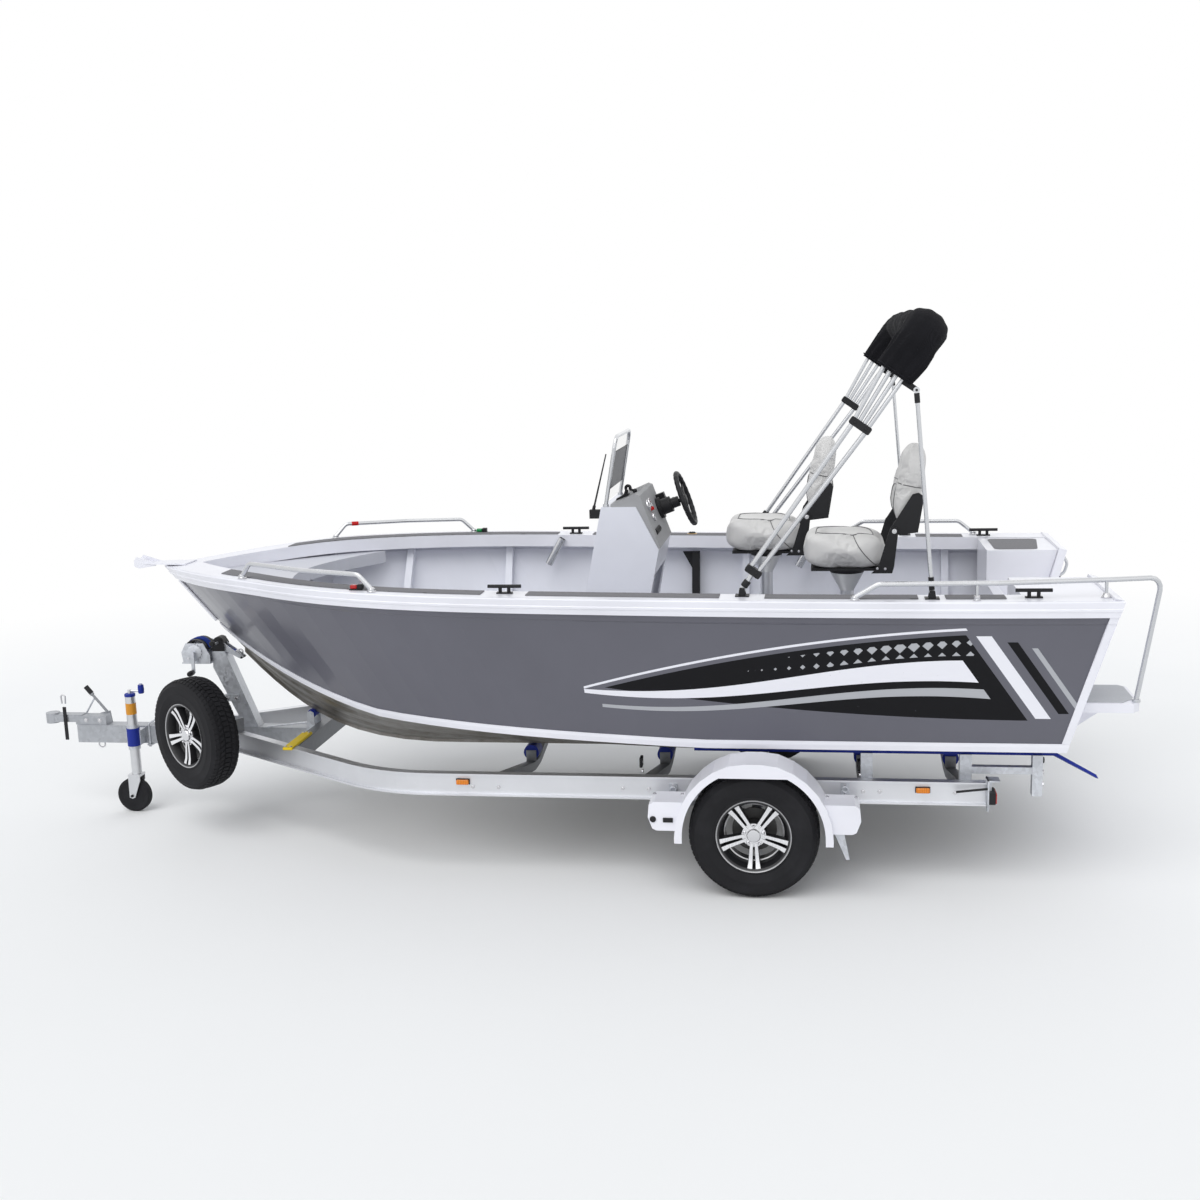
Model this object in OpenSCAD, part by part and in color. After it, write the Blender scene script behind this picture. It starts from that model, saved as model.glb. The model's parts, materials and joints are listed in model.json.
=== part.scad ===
// Aluminium centre console boat on its single-axle trailer.
// X runs forward to the bow, Y to port, Z up; Z = 0 is the floor. Every X below is measured
// from the road axle, and rig() moves the whole to the middle of its own length.

/* [Hull] */
// Widest half breadth of the side sheets, at the gunwale
gunwale_half = 1185; // [1000:5:1300]
// Half breadth at the gunwale's stern end
stern_half = 1125; // [900:5:1200]
// Stern end of the gunwale
stern_x = -1730; // [-2000:5:-1500]
// Foremost point of the gunwale
bow_x = 3545; // [3300:5:3800]
// Gunwale height at the stern
sheer_z = 1490; // [1400:5:1600]
// Rise of the gunwale towards the bow
sheer_rise = 85; // [0:5:150]
// Dip of the gunwale over the last of the bow
bow_dip = 70; // [0:5:100]
// Half breadth at the chine
chine_half = 1000; // [850:5:1050]
// Chine height at the stern
chine_z = 715; // [680:5:760]
// Where chine and keel meet on the stem
stem_x = 3200; // [3050:5:3300]
// Height of the keel line
keel_z = 445; // [430:1:470]
// Thickness of the hull plates
plate_t = 5; // [3:0.5:8]
// Height of the pressed swage below the gunwale, as a share of the side
swage_at = 0.86; // [0.7:0.01:0.92]
// Height of the chine strip
strip_h = 45; // [30:1:60]
// Thickness of the chine, stem and transom strips
strip_t = 9; // [5:1:15]
// Depth of the bottom strakes
strake_h = 16; // [5:1:25]
// Thickness of the transom
transom_t = 45; // [30:1:70]
// Height of the motor cut-out above the keel line
motor_h = 540; // [500:5:600]
// Half width of the motor cut-out
motor_half = 330; // [250:5:400]

/* [Deck] */
// Height of the gunwale extrusion
band_h = 80; // [60:1:100]
// Thickness of the gunwale extrusion
band_t = 14; // [8:1:25]
// Width of the side decks
deck_w = 175; // [120:5:220]
// Depth of the coaming lip inside the side decks
lip_h = 75; // [50:1:100]
// Height of the cockpit floor
floor_z = 840; // [780:5:900]
// Height of the sunken foredeck
foredeck_z = 1462; // [1400:2:1480]
// After edge of the foredeck, on the centreline
foredeck_x = 2700; // [2500:10:2900]
// Thickness of the non-slip pads
pad_t = 4; // [2:1:8]
// Tube radius of the deck rails
rail_r = 12.5; // [8:0.5:16]
// Height of the deck rails
rail_h = 85; // [50:5:120]

/* [Console] */
// Half width of the console
console_half = 320; // [250:5:400]
// Height of the console's top
console_z = 1860; // [1750:5:1950]
// Wall of the console
console_t = 8; // [5:1:15]
// Radius of the steering wheel
helm_r = 165; // [140:5:190]
// Backward lean of the steering wheel
helm_lean = 20; // [0:1:40]

/* [Seats] */
// Distance of each seat from the centreline
seat_y = 310; // [270:5:400]
// Seat post centres, port then starboard
seat_xs = [-470, -20];
// Height of the cushion's underside
seat_z = 1540; // [1450:5:1600]
// Cushion length, width and thickness
cushion = [460, 430, 175];
// Backrest height and thickness
back_h = 450; // [350:5:500]
back_t = 130; // [90:5:160]

/* [Bimini] */
// Foot of the canopy frame
bimini_x = 50; // [-50:5:150]
// Distance of the canopy frame's legs in from the gunwale
bimini_inset = 130; // [105:5:200]
// Backward lean of the stowed frame
bimini_lean = 35.5; // [20:0.5:50]
// Leg length up to the cross tube's centre line
bimini_h = 1480; // [1300:10:1600]
// Tube radius of the frame
bow_r = 12.5; // [8:0.5:16]
// Radius of the rolled canopy in its boot
boot_r = 118; // [80:2:150]

/* [Trailer] */
// Room between each tyre and its side rail
rail_room = 62.5; // [40:0.5:100]
// Underside of the side rails
rail_z = 425; // [400:5:450]
// Height, width and metal thickness of the side rails
beam = [120, 50, 8];
// After end of the side rails
rail_aft = -1140; // [-1300:5:-1000]
// Where the side rails meet the drawbar
rail_fore = 3330; // [3200:5:3500]
// Angle of the converging rails
rail_angle = 33; // [25:1:40]
// Foremost point of the coupler
coupler_x = 4430; // [4300:5:4550]
// Radius of the coupler's ball socket
ball_r = 25.4; // [24:0.1:26]
// Offset of the jockey stand to port
jockey_y = 125; // [100:5:160]
// Place of the jockey stand along the drawbar
jockey_x = 3800; // [3700:5:3900]
// Radius of the jockey wheel
jockey_r = 105; // [80:5:120]

/* [Wheels] */
// Distance of the tyres' middle from the centreline
track_half = 1130; // [1110:5:1160]
// Outer radius of the tyres
tyre_r = 325; // [300:1:340]
// Width of the tyres
tyre_w = 185; // [165:5:205]
// Radius of the rim flange
rim_r = 192; // [178:1:205]
// Twin spokes on each rim
spokes = 5; // [4:1:8]

/* [Hidden] */
$fn = 32;

// Distance of the side rails from the centreline
rail_y = track_half - tyre_w / 2 - beam.y / 2 - rail_room;
// Half breadth of the canopy frame
bimini_half = gunwale_half - bimini_inset;
// Clearance between pieces that seat on each other
gap = 0.3;
// Clearance under what stands on the gently curved side decks
seat_gap = 0.7;
// The rails stand this far in from the gunwale's edge, and their feet this high
rail_in = 34;
foot_rise = 11;
// Bend of the stern rails, and the level of the boarding steps they run down to
stern_bend = 60;
step_z = 948;
// Aft end of the stern rails' outline, before its corners are rounded
swim_aft = -1950;
// The transom leans aft: this much for each millimetre of height
rake = 0.284;
// Half angle of the bow in plan
bow_angle = 52;
// Stern ends of the chine and the keel
chine_aft_x = stern_x + (sheer_z - chine_z) * rake;
keel_aft = stern_x + (sheer_z - keel_z) * rake;
// Where the middle of the whole length lies, seen from the axle
mid_x = (coupler_x - rail_r + min([for (q = rounded(stern_path(), stern_bend)) q.x])) / 2;

module rig() translate([-mid_x, 0, 0]) children();
module both() { children(); mirror([0, 1, 0]) children(); }

// ---- general shapes ----
function lerp(a, b, f) = a + (b - a) * f;
function unit(v) = v / norm(v);
function tetra(p, f) = len(f) < 3 ? 0
    : sum3([for (i = [1:len(f) - 2]) p[f[0]] * cross(p[f[i]], p[f[i + 1]])]);
function sum3(v, i = 0) = i >= len(v) ? 0 : v[i] + sum3(v, i + 1);
function flipped(f) = [for (i = [len(f) - 1:-1:0]) f[i]];

// A closed solid through rings of points, each ring with the same count. The ring of a
// plate runs out along one face and back along the other, and its ends are closed in strips
module skin(rings, plate = false) {
    n = len(rings);
    m = len(rings[0]);
    points = [for (r = rings) each r];
    sides = [for (i = [0:n - 2], j = [0:m - 1])
        let (a = i * m + j, b = i * m + (j + 1) % m) each [[a, b, b + m], [a, b + m, a + m]]];
    cap = plate ? [for (j = [0:m / 2 - 2]) each [[j, j + 1, m - 2 - j], [j, m - 2 - j, m - 1 - j]]]
        : [[for (j = [0:m - 1]) j]];
    faces = concat([for (f = cap) flipped(f)], sides, [for (f = cap) [for (k = f) (n - 1) * m + k]]);
    outward = sum3([for (part = [for (f = faces) tetra(points, f)]) part]) < 0;
    polyhedron(points, outward ? faces : [for (f = faces) flipped(f)]);
}

// A round bar between two points
module rod(a, b, r) {
    d = b - a;
    translate(a) rotate([0, acos(d.z / norm(d)), atan2(d.y, d.x)]) cylinder(r = r, h = norm(d));
}

// Points along a path whose corners are rounded to one radius
function rounded(p, bend, steps = 4) = [for (i = [0:len(p) - 1])
    each (i == 0 || i == len(p) - 1) ? [p[i]] : corner(p[i], unit(p[i] - p[i - 1]), unit(p[i + 1] - p[i]), bend, steps)];
function corner(p, u, v, bend, steps) = let (turn = acos(u * v), n = unit(v - u * (u * v)),
    c = p - u * bend * tan(turn / 2) + n * bend)
    [for (k = [0:steps]) let (a = turn * k / steps) c - n * bend * cos(a) + u * bend * sin(a)];
function path_dir(p, i) = unit(p[min(len(p) - 1, i + 1)] - p[max(0, i - 1)]);
// Side vectors carried along the path without twist
function carried(p, i = 0, last = undef, out = []) = i >= len(p) ? out
    : let (t = path_dir(p, i), ref = is_undef(last) ? cross(t, abs(t.z) < 0.9 ? [0, 0, 1] : [1, 0, 0]) : last,
        n = unit(ref - t * (ref * t))) carried(p, i + 1, n, concat(out, [n]));

// A round tube through points, with a bend of one radius at each corner
module bent_tube(p, r, bend, sides = 12) {
    path = rounded(p, bend);
    n = carried(path);
    skin([for (i = [0:len(path) - 1]) let (t = path_dir(path, i), b = cross(t, n[i]))
        [for (k = [0:sides - 1]) let (a = 360 * k / sides) path[i] + (n[i] * cos(a) + b * sin(a)) * r]]);
}

// A box given by its low and high corners
module block(lo, hi) translate(lo) cube(hi - lo);

// An outline in the X-Z plane, carried from y0 to y1
module slab(y0, y1) translate([0, y1, 0]) rotate([90, 0, 0]) linear_extrude(y1 - y0) children();

// A rectangle with round corners, centred
module round_rect(l, w, r) hull() for (x = [-1, 1], y = [-1, 1])
    translate([x * (l / 2 - r), y * (w / 2 - r)]) circle(r = r);

// ---- hull lines: w runs from 0 at the transom to 1 at the bow ----
function gunwale_y(x) = let (t = max(0, (x - 1000) / (bow_x - 1000)), a = max(0, (500 - x) / (500 - stern_x)))
    (gunwale_half - (gunwale_half - stern_half) * a * a) * (1 - t * t * t);
function gunwale_z(x) = let (s = (x - stern_x) / (bow_x - stern_x))
    sheer_z + sheer_rise * pow(max(0, s), 1.6) - bow_dip * pow(max(0, (s - 0.83) / 0.17), 1.5);
function chine_y(x) = let (t = max(0, (x - 600) / (stem_x - 600))) chine_half * (1 - pow(t, 2.6));
function chine_h(x) = let (t = max(0, (x - 300) / (stem_x - 300)))
    chine_z + 150 * t + 245 * pow(max(0, (t - 0.58) / 0.42), 1.3);
// The stem is straight from the chines' meeting point up to the bow
stem_low = [stem_x, chine_h(stem_x)];
stem_top = [bow_x, gunwale_z(bow_x)];
// The forefoot is one smooth curve from the flat of the keel to the stem
stem_curve = [[1700, keel_z], [2440, keel_z - 16], stem_low - 1.4 * (stem_top - stem_low), stem_low];
function bezier(c, t) = pow(1 - t, 3) * c[0] + 3 * pow(1 - t, 2) * t * c[1]
    + 3 * (1 - t) * t * t * c[2] + t * t * t * c[3];
keel_share = (stem_curve[0].x - keel_aft) / (stem_x - keel_aft);
function keel_pt(w) = w < keel_share
    ? [lerp(keel_aft, stem_curve[0].x, w / keel_share), keel_z]
    : bezier(stem_curve, (w - keel_share) / (1 - keel_share));
function gunwale_pt(w) = let (x = lerp(stern_x, bow_x, w)) [x, gunwale_y(x), gunwale_z(x)];
function chine_pt(w) = let (x = lerp(chine_aft_x, stem_x, w)) [x, chine_y(x), chine_h(x)];
// Outward direction of the side in plan, at the height share f
function side_raw(w, f) = lerp(chine_pt(w), gunwale_pt(w), f);
function side_out(w, f) = let (d = 0.002, a = side_raw(max(0, w - d), f), b = side_raw(min(1, w + d), f),
    t = unit([b.x - a.x, b.y - a.y])) w >= 1 - d ? [1 / sin(bow_angle), 0] : [-t.y, t.x];
// A point of the side sheet: height share f, moved outward by o
function side_pt(w, f, o = 0) = let (p = side_raw(w, f), n = side_out(w, f)) [p.x + n.x * o, p.y + n.y * o, p.z];
stations = 30;
edge_w = 0.008;
ws = concat([0, edge_w], [for (i = [1:stations]) 1 - pow(1 - i / stations, 1.5)]);
// Stations right round the hull: port side forward, then starboard side aft
function around(ring, last = 1) = concat([for (w = ws) if (w <= last) ring(w)],
    [for (i = [len(ws) - (last < 1 ? 1 : 2):-1:0]) if (ws[i] <= last) [for (p = ring(ws[i])) [p.x, -p.y, p.z]]]);
// Half breadth of the hull's outside at a place and height
function w_at(x, z, w = 0.5, i = 0) = i > 14 ? w
    : w_at(x, z, max(0, min(1, w + (x - breadth_pt(w, z).x) / (bow_x - stern_x) * 0.9)), i + 1);
function breadth_pt(w, z) = let (g = gunwale_pt(w), c = chine_pt(w), k = keel_pt(w))
    z >= c.z ? lerp(c, g, (z - c.z) / (g.z - c.z))
    : lerp([k.x, 0, k.y], c, max(0, (z - k.y) / (c.z - k.y)));
function hull_half(x, z) = breadth_pt(w_at(x, z), z).y;
// Half breadth inside the plates, with room for the plates' own flats between stations
function inside_half(x, z) = let (s = abs(hull_half(x + 10, z) - hull_half(x - 10, z)) / 20,
    side = hull_half(x, z) - (plate_t + 0.6) * sqrt(1 + s * s) - 2.5 * min(1, 3 * s))
    z > chine_h(x) + 8 ? side : min(side, hull_half(x, z - plate_t - 3) - 4);
function deck_z(x) = gunwale_z(x);
function side_height(w) = gunwale_pt(w).z - chine_pt(w).z;

swage_out = 6;
module hull_sides() color("slategray") rig() {
    t = plate_t;
    row = function(w, o) let (h = side_height(w)) [side_pt(w, 0, o), side_pt(w, strip_h / h, o),
        side_pt(w, swage_at - 0.012, o), side_pt(w, swage_at, o + swage_out),
        side_pt(w, 1 - band_h / h, o + swage_out), side_pt(w, 1 - (t + seat_gap) / h, o + swage_out)];
    skin(around(function(w) concat(row(w, 0), flipped(row(w, -t)))), true);
}

// Half of the bottom's section from the chine to the keel bar
keel_bar = [17, 13];
bottom_end = 0.975;
function bottom_row(w, lift) = let (k = keel_pt(w), c = side_pt(w, 0, -plate_t - gap), f = min(1, 6 * (1 - w)),
    q = function(s, h) [lerp(k.x, c.x, s), c.y * s, lerp(k.y, c.z, s) - h * f + lift], e = min(0.5, keel_bar.x / c.y))
    [q(1, 0), q(0.75, 0), q(0.70, strake_h), q(0.66, strake_h), q(0.64, 0), q(0.40, 0), q(0.35, strake_h),
     q(0.31, strake_h), q(0.29, 0), q(e, 0), [k.x, c.y * e * 0.8, k.y + (lift > 0 ? lift : -keel_bar.y)]];
module hull_bottom() color("dimgray") rig() {
    full = function(w, lift) let (r = bottom_row(w, lift))
        concat(r, [for (i = [len(r) - 1:-1:0]) [r[i].x, -r[i].y, r[i].z]]);
    skin([for (w = concat([for (w = ws) if (w < bottom_end) w], [bottom_end]))
        concat(full(w, 0), flipped(full(w, plate_t)))], true);
}

// Width, height and thickness of the motor's pad
motor_pad = [420, 330, 4];
module transom() color("whitesmoke") rig() {
    lean = atan(rake);
    up = 1 / cos(lean);
    g = stern_half - plate_t - gap + swage_out - 3;
    c = chine_half - plate_t - gap;
    zk = (plate_t + 1) * up;
    zc = (chine_z - keel_z + plate_t + 2) * up;
    zs = lerp(zc, (sheer_z - keel_z) * up, swage_at);
    ys = lerp(c, stern_half - plate_t - gap, swage_at) - 2;
    zt = (sheer_z - keel_z - 1) * up;
    zm = motor_h * up;
    half = [[0, zk], [c, zc], [ys, zs], [g, zt], [motor_half + 110, zt], [motor_half + 40, zm + 60],
        [motor_half, zm]];
    translate([keel_aft, 0, keel_z]) rotate([0, -lean, 0]) rotate([90, 0, 90]) union() {
        linear_extrude(transom_t)
            polygon(concat(half, [for (i = [len(half) - 1:-1:1]) [-half[i].x, half[i].y]]));
        // The raised pad that an outboard clamps to
        translate([-motor_pad.x / 2, zm - motor_pad.y, -motor_pad.z]) cube([motor_pad.x, motor_pad.y, motor_pad.z + 1]);
    }
}

module hull_trim() color("white") rig() {
    t = strip_t;
    chine = function(w) let (h = side_height(w), f = strip_h / h)
        [side_pt(w, 0, gap), side_pt(w, f, gap), side_pt(w, f, t * 0.6), side_pt(w, f * 0.6, t), side_pt(w, 0, t)];
    skin(around(chine));
    edge = function(w, o) let (h = side_height(w)) [side_pt(w, (strip_h + 1) / h, o),
        side_pt(w, swage_at - 0.012, o), side_pt(w, swage_at, o + swage_out),
        side_pt(w, 1 - (band_h + 1) / h, o + swage_out)];
    both() skin([for (w = [0, edge_w]) concat(edge(w, gap), flipped(edge(w, t - 2)))]);
    stem_bar(0.16, 0.78);
}
// The bar up the stem, from share a to share b of its run
module stem_bar(a, b) {
    along = unit(stem_top - stem_low);
    out = [along.y, -along.x];
    skin([for (f = [a, b]) let (p = lerp(stem_low, stem_top, f))
        [for (c = [[0.8, 0], [-11.6, 24], [-6, 30], [8, 20], [14, 9], [14, -9], [8, -20], [-6, -30], [-11.6, -24]])
        [p.x + out.x * c.x, c.y, p.y + out.y * c.x]]]);
}

module gunwale_band() color("white") rig() {
    ring = function(w) let (h = side_height(w), b = band_t, o = swage_out + gap,
        q = function(out, down) side_pt(w, 1 - down / h, out))
        [q(o, 0), q(o + b - 6, 0), q(o + b, 6), q(o + b, band_h * 0.44), q(o + b + 4, band_h * 0.5),
         q(o + b + 4, band_h * 0.62), q(o + b, band_h * 0.68), q(o + b, band_h), q(o, band_h)];
    skin(around(ring));
}

// Plan curves nested inside the gunwale, at a distance d in from it
function inner_bow(d) = bow_x - d / sin(bow_angle);
function inner_at(x, d, z) = let (t = max(0, (x - 1000) / (inner_bow(d) - 1000)),
    a = max(0, (500 - x) / (500 - stern_x)))
    [x, (gunwale_half - d - (gunwale_half - stern_half) * a * a) * (1 - t * t * t), gunwale_z(x) + z];
function inner_pt(w, d, z) = inner_at(lerp(stern_x, inner_bow(d), w), d, z);
// The side decks start at the raked face of the transom
deck_start = transom_t / cos(atan(rake)) + gap;
module side_decks() color("white") rig() {
    t = plate_t;
    q = function(w, d, z) w > 0 ? inner_pt(w, d, z) : inner_at(stern_x + deck_start - z * rake, d, z);
    skin(around(function(w) [q(w, 0, 0), q(w, deck_w, 0), q(w, deck_w, -lip_h), q(w, deck_w - t, -lip_h),
        q(w, deck_w - t, -t), q(w, 0, -t)]));
}

// Non-slip pads lie on the side decks, in stretches between the fittings
pad_runs = [[-1200, -920], [-790, -60], [160, 1120], [1350, 2950]];
pad_edges = [58, 158];
module deck_pads() color("gray") rig() for (run = pad_runs) both() {
    n = ceil((run[1] - run[0]) / 120);
    skin([for (i = [0:n]) let (x = lerp(run[0], run[1], i / n)) [
        inner_at(x, pad_edges[0], seat_gap), inner_at(x, pad_edges[1], seat_gap),
        inner_at(x, pad_edges[1], seat_gap + pad_t), inner_at(x, pad_edges[0], seat_gap + pad_t)]]);
}

// Outline of the foredeck: along the lip, then the hollow after edge
module foredeck_outline() {
    aft_x = 2430;
    inset = 3;
    n = 12;
    side = [for (i = [0:n]) let (p = inner_at(lerp(aft_x, inner_bow(deck_w + inset) - 30, i / n), deck_w + inset, 0))
        [p.x, p.y]];
    aft = side[0];
    hollow = [for (i = [1:7]) let (f = i / 8) [aft.x + (foredeck_x - aft.x) * sin(90 * f), aft.y * (1 - f)]];
    half = concat(flipped(side), hollow);
    polygon(concat(half, [[foredeck_x, 0]], [for (i = [len(half) - 1:-1:0]) [half[i].x, -half[i].y]]));
}

// The hollow after edge of the foredeck, port to starboard
function foredeck_edge(o) = let (y = inner_at(2430, deck_w + 3, 0).y)
    [for (i = [-8:8]) [2430 + (foredeck_x - 2430) * cos(90 * i / 8) + o, y * i / 8]];

bulkhead_x = foredeck_x + 40;
// Low edge of the hatch opening, above the floor, and its half width and height
hatch = [260, 270];
hatch_half = 260;
module foredeck() color("gainsboro") rig() {
    union() {
        translate([0, 0, foredeck_z]) linear_extrude(plate_t) foredeck_outline();
        translate([0, 0, foredeck_z - lip_h + plate_t]) linear_extrude(lip_h - plate_t + 1) intersection() {
            polygon(concat(foredeck_edge(0), flipped(foredeck_edge(9))));
            foredeck_outline();
        }
    }
    z0 = floor_z + gap;
    z1 = foredeck_z - gap;
    half = [for (i = [0:6]) let (z = lerp(z0, z1, i / 6)) [min(inside_half(bulkhead_x, z),
        inside_half(bulkhead_x + plate_t, z)) - 3, z]];
    translate([bulkhead_x, 0, 0]) rotate([90, 0, 90]) linear_extrude(plate_t) difference() {
        polygon(concat(half, [for (i = [len(half) - 1:-1:0]) [-half[i].x, half[i].y]]));
        translate([-hatch_half, z0 + hatch[0]]) square([2 * hatch_half, hatch[1]]);
    }
}

// Anchor plate on chocks over the bow, with a roller between its cheeks
sprit_tip = 3735;
sprit_half = 62;
sprit_z = gunwale_z(3395) + seat_gap;
module bowsprit() color("white") rig() {
    t = 8;
    cheek = sprit_half - 16;
    union() {
        translate([0, 0, sprit_z]) linear_extrude(t) polygon([[3395, -85], [3395, 85], [3560, sprit_half],
            [sprit_tip - 50, cheek], [sprit_tip - 50, -cheek], [3560, -sprit_half]]);
        for (s = [-1, 1]) translate([0, s * (cheek - 3) - 3, 0]) slab(0, 6) polygon([[3590, sprit_z + t],
            [3600, sprit_z - 10], [sprit_tip - 30, sprit_z - 26], [sprit_tip, sprit_z - 14], [sprit_tip, sprit_z + 22],
            [sprit_tip - 18, sprit_z + 44], [sprit_tip - 60, sprit_z + 32], [3600, sprit_z + t]]);
        slab(-40, 40) polygon([[3470, sprit_z + 1], [3540, sprit_z + 1], [3540, gunwale_z(3540) + seat_gap + 1],
            [3470, gunwale_z(3470) + seat_gap + 1]]);
    }
    translate([sprit_tip - 26, cheek - 6 - gap, sprit_z + 4]) rotate([90, 0, 0])
        cylinder(r = 22, h = 2 * (cheek - 6 - gap));
}

module cockpit_floor() color("silver") rig() {
    aft = stern_x + (sheer_z - floor_z) * rake + deck_start + 2;
    n = 20;
    half = [for (i = [0:n]) let (x = lerp(aft, bulkhead_x + 20, i / n)) [x, inside_half(x, floor_z - plate_t) - 0.5]];
    translate([0, 0, floor_z - plate_t]) linear_extrude(plate_t)
        polygon(concat(half, [for (i = [n:-1:0]) [half[i].x, -half[i].y]]));
}

// Upright frames inside the side sheets, from the floor to the side deck
rib_xs = [-1100, -480, 140, 900, 1680, 2300];
rib = [44, 50];
module side_ribs() color("gainsboro") rig() for (x = rib_xs) both() {
    z0 = floor_z + gap;
    z1 = deck_z(x) - plate_t - 1.5;
    out = function(z) min(inside_half(x - rib.x / 2, z), inside_half(x + rib.x / 2, z)) - 2;
    translate([x - rib.x / 2, 0, 0]) rotate([90, 0, 90]) linear_extrude(rib.x)
        polygon([[out(z0), z0], [out(z1), z1], [out(z1) - rib.y, z1], [out(z0) - rib.y, z0]]);
}

// Quarter decks beside the motor well, and the well itself
module stern_deck() color("white") rig() {
    t = plate_t;
    z1 = sheer_z - 2;
    fwd = -1290;
    aft = function(z) stern_x + (sheer_z - z) * rake + transom_t / cos(atan(rake)) + 2;
    inner = motor_half + 130;
    outer = stern_half - deck_w - 2;
    well_z = keel_z + motor_h + 40;
    both() {
        block([aft(z1), inner, z1 - t], [fwd + t, outer, z1]);
        block([fwd, inner, floor_z + gap], [fwd + t, outer, z1 - t]);
        slab(inner, inner + t) polygon([[aft(z1 - t), z1 - t], [fwd, z1 - t], [fwd, floor_z + gap],
            [aft(floor_z), floor_z + gap]]);
    }
    slab(-inner + gap, inner - gap) polygon([[aft(well_z), well_z], [fwd - 120, well_z + 60], [fwd - 60, well_z + 260],
        [fwd + t, well_z + 268], [fwd + t, floor_z + gap], [fwd, floor_z + gap], [fwd, well_z + 262],
        [fwd - 54, well_z + 254], [fwd - 114, well_z + 54], [aft(well_z), well_z - 6]]);
}

// A boss under a rail's end; the tube starts a little above its base
module foot(p, r = 20) translate([p.x, p.y, p.z]) cylinder(r = r, h = 15);
function on_deck(x, d) = inner_at(x, d, seat_gap);
function lifted(p, h) = [p.x, p.y, p.z + h];

module bow_rails() color("silver") rig() {
    a = on_deck(2750, rail_in);
    b = on_deck(1920, rail_in);
    m = on_deck(2340, rail_in - 4);
    both() union() {
        bent_tube([lifted(a, foot_rise), lifted(on_deck(2690, rail_in), rail_h), lifted(m, rail_h),
            lifted(on_deck(1995, rail_in), rail_h), lifted(b, foot_rise)], rail_r, 45);
        foot(a);
        foot(b);
    }
}

// The stern rails run aft past the transom and down to the boarding steps
function stern_path() = let (a = on_deck(-490, rail_in), top = sheer_z + rail_h)
    [lifted(a, foot_rise), [-600, a.y, top], [-1150, on_deck(-1150, rail_in).y, top], [-1700, 1030, top],
     [swim_aft + rail_r, 930, top - 8], [-1845, 905, step_z + foot_rise]];
// The starboard rail is short and ends on the side deck
short_end = -1275;

module stern_rails() color("silver") rig() {
    top = sheer_z + rail_h;
    union() {
        bent_tube(stern_path(), rail_r, stern_bend);
        for (x = [-1060, -1662]) {
            post = x > -1100 ? on_deck(x, rail_in) : [x, 1037, sheer_z + seat_gap];
            rod(post, [post.x, post.y, top], 8);
            foot(post, 16);
        }
        foot(on_deck(-490, rail_in));
        translate([-1845, 905, step_z]) cylinder(r = 20, h = 15);
    }
    a = on_deck(-490, rail_in);
    b = on_deck(short_end, rail_in);
    mirror([0, 1, 0]) union() {
        bent_tube([lifted(a, foot_rise), [-600, on_deck(-600, rail_in).y, top],
            [short_end + 90, on_deck(short_end + 90, rail_in).y, top], lifted(b, foot_rise)], rail_r, 45);
        foot(a);
        foot(b);
    }
}

module swim_steps() color("white") rig() {
    z = step_z - gap;
    aft_x = stern_x + (sheer_z - z) * rake - gap;
    both() difference() {
        union() {
            translate([0, 0, z - 46]) linear_extrude(46) polygon([[aft_x - 14, 560], [aft_x - 14, 945],
                [aft_x - 250, 945], [aft_x - 285, 900], [aft_x - 285, 605], [aft_x - 250, 560]]);
            slab(740, 748) polygon([[aft_x - 1, z - 20], [aft_x + 220 * rake - 13, z - 220], [aft_x - 200, z - 44]]);
            slab(600, 905) polygon([[aft_x, z], [aft_x + 40 * rake, z - 40], [aft_x - 20, z - 40], [aft_x - 20, z]]);
        }
        translate([0, 0, z - 46 - 1]) linear_extrude(39) polygon([[aft_x - 22, 568], [aft_x - 22, 739],
            [aft_x - 277, 739], [aft_x - 277, 608], [aft_x - 248, 568]]);
    }
}

cleat_spots = [[1235, 110], [-1330, 95]];
module cleats() color("dimgray") rig() both() for (c = cleat_spots) translate(on_deck(c.x, c.y)) union() {
    translate([-40, -16, 0.3]) cube([80, 32, 6]);
    for (s = [-1, 1]) translate([s * 22, 0, 3]) cylinder(r = 9, h = 28);
    translate([-85, 0, 36]) rotate([0, 90, 0]) cylinder(r = 9, h = 170);
}

// Rod holders lean aft against the inner face of the coaming lips
holder_r = 24;
holder_bore = 21;
holder_l = 190;
holder_lean = 30;
holder_xs = [1310, -290];
function holder_at(x) = let (d = deck_w + gap + holder_r, y = min(inner_at(x, d, 0).y, inner_at(x + 20, d, 0).y))
    [x, y - 0.4, deck_z(x) - 20];
module rod_holders() color("gainsboro") rig() both() for (x = holder_xs)
    translate(holder_at(x)) rotate([0, -holder_lean, 0]) difference() {
        translate([0, 0, -holder_l]) cylinder(r = holder_r, h = holder_l);
        translate([0, 0, -holder_l + 12]) cylinder(r = holder_bore, h = holder_l);
    }

// ---- console ----
console_foot = 1067;
console_profile = [[console_foot, floor_z + gap], [851, console_z], [660, console_z], [540, 1623], [700, floor_z + gap]];
console_inner = [[console_foot - 10, floor_z], [851 - 7, console_z - console_t], [664, console_z - console_t],
    [549, 1622], [709, floor_z]];
module console() color("white") rig() difference() {
    slab(-console_half, console_half) polygon(console_profile);
    slab(-console_half + console_t, console_half - console_t) polygon(console_inner);
    block([560, -console_half + 60, floor_z + 90], [720, console_half - 60, 1480]);
}
// The hood's after face stands square to the steering column
module dash() color("gray") rig() {
    slab(-console_half + 12, console_half - 12) polygon([[800, console_z + gap], [659.8, console_z + gap],
        [543.2, 1630], [533, 1630], [639, 1920], [662, 1928], [735, 1897], [800, console_z + 14]]);
}

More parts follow.
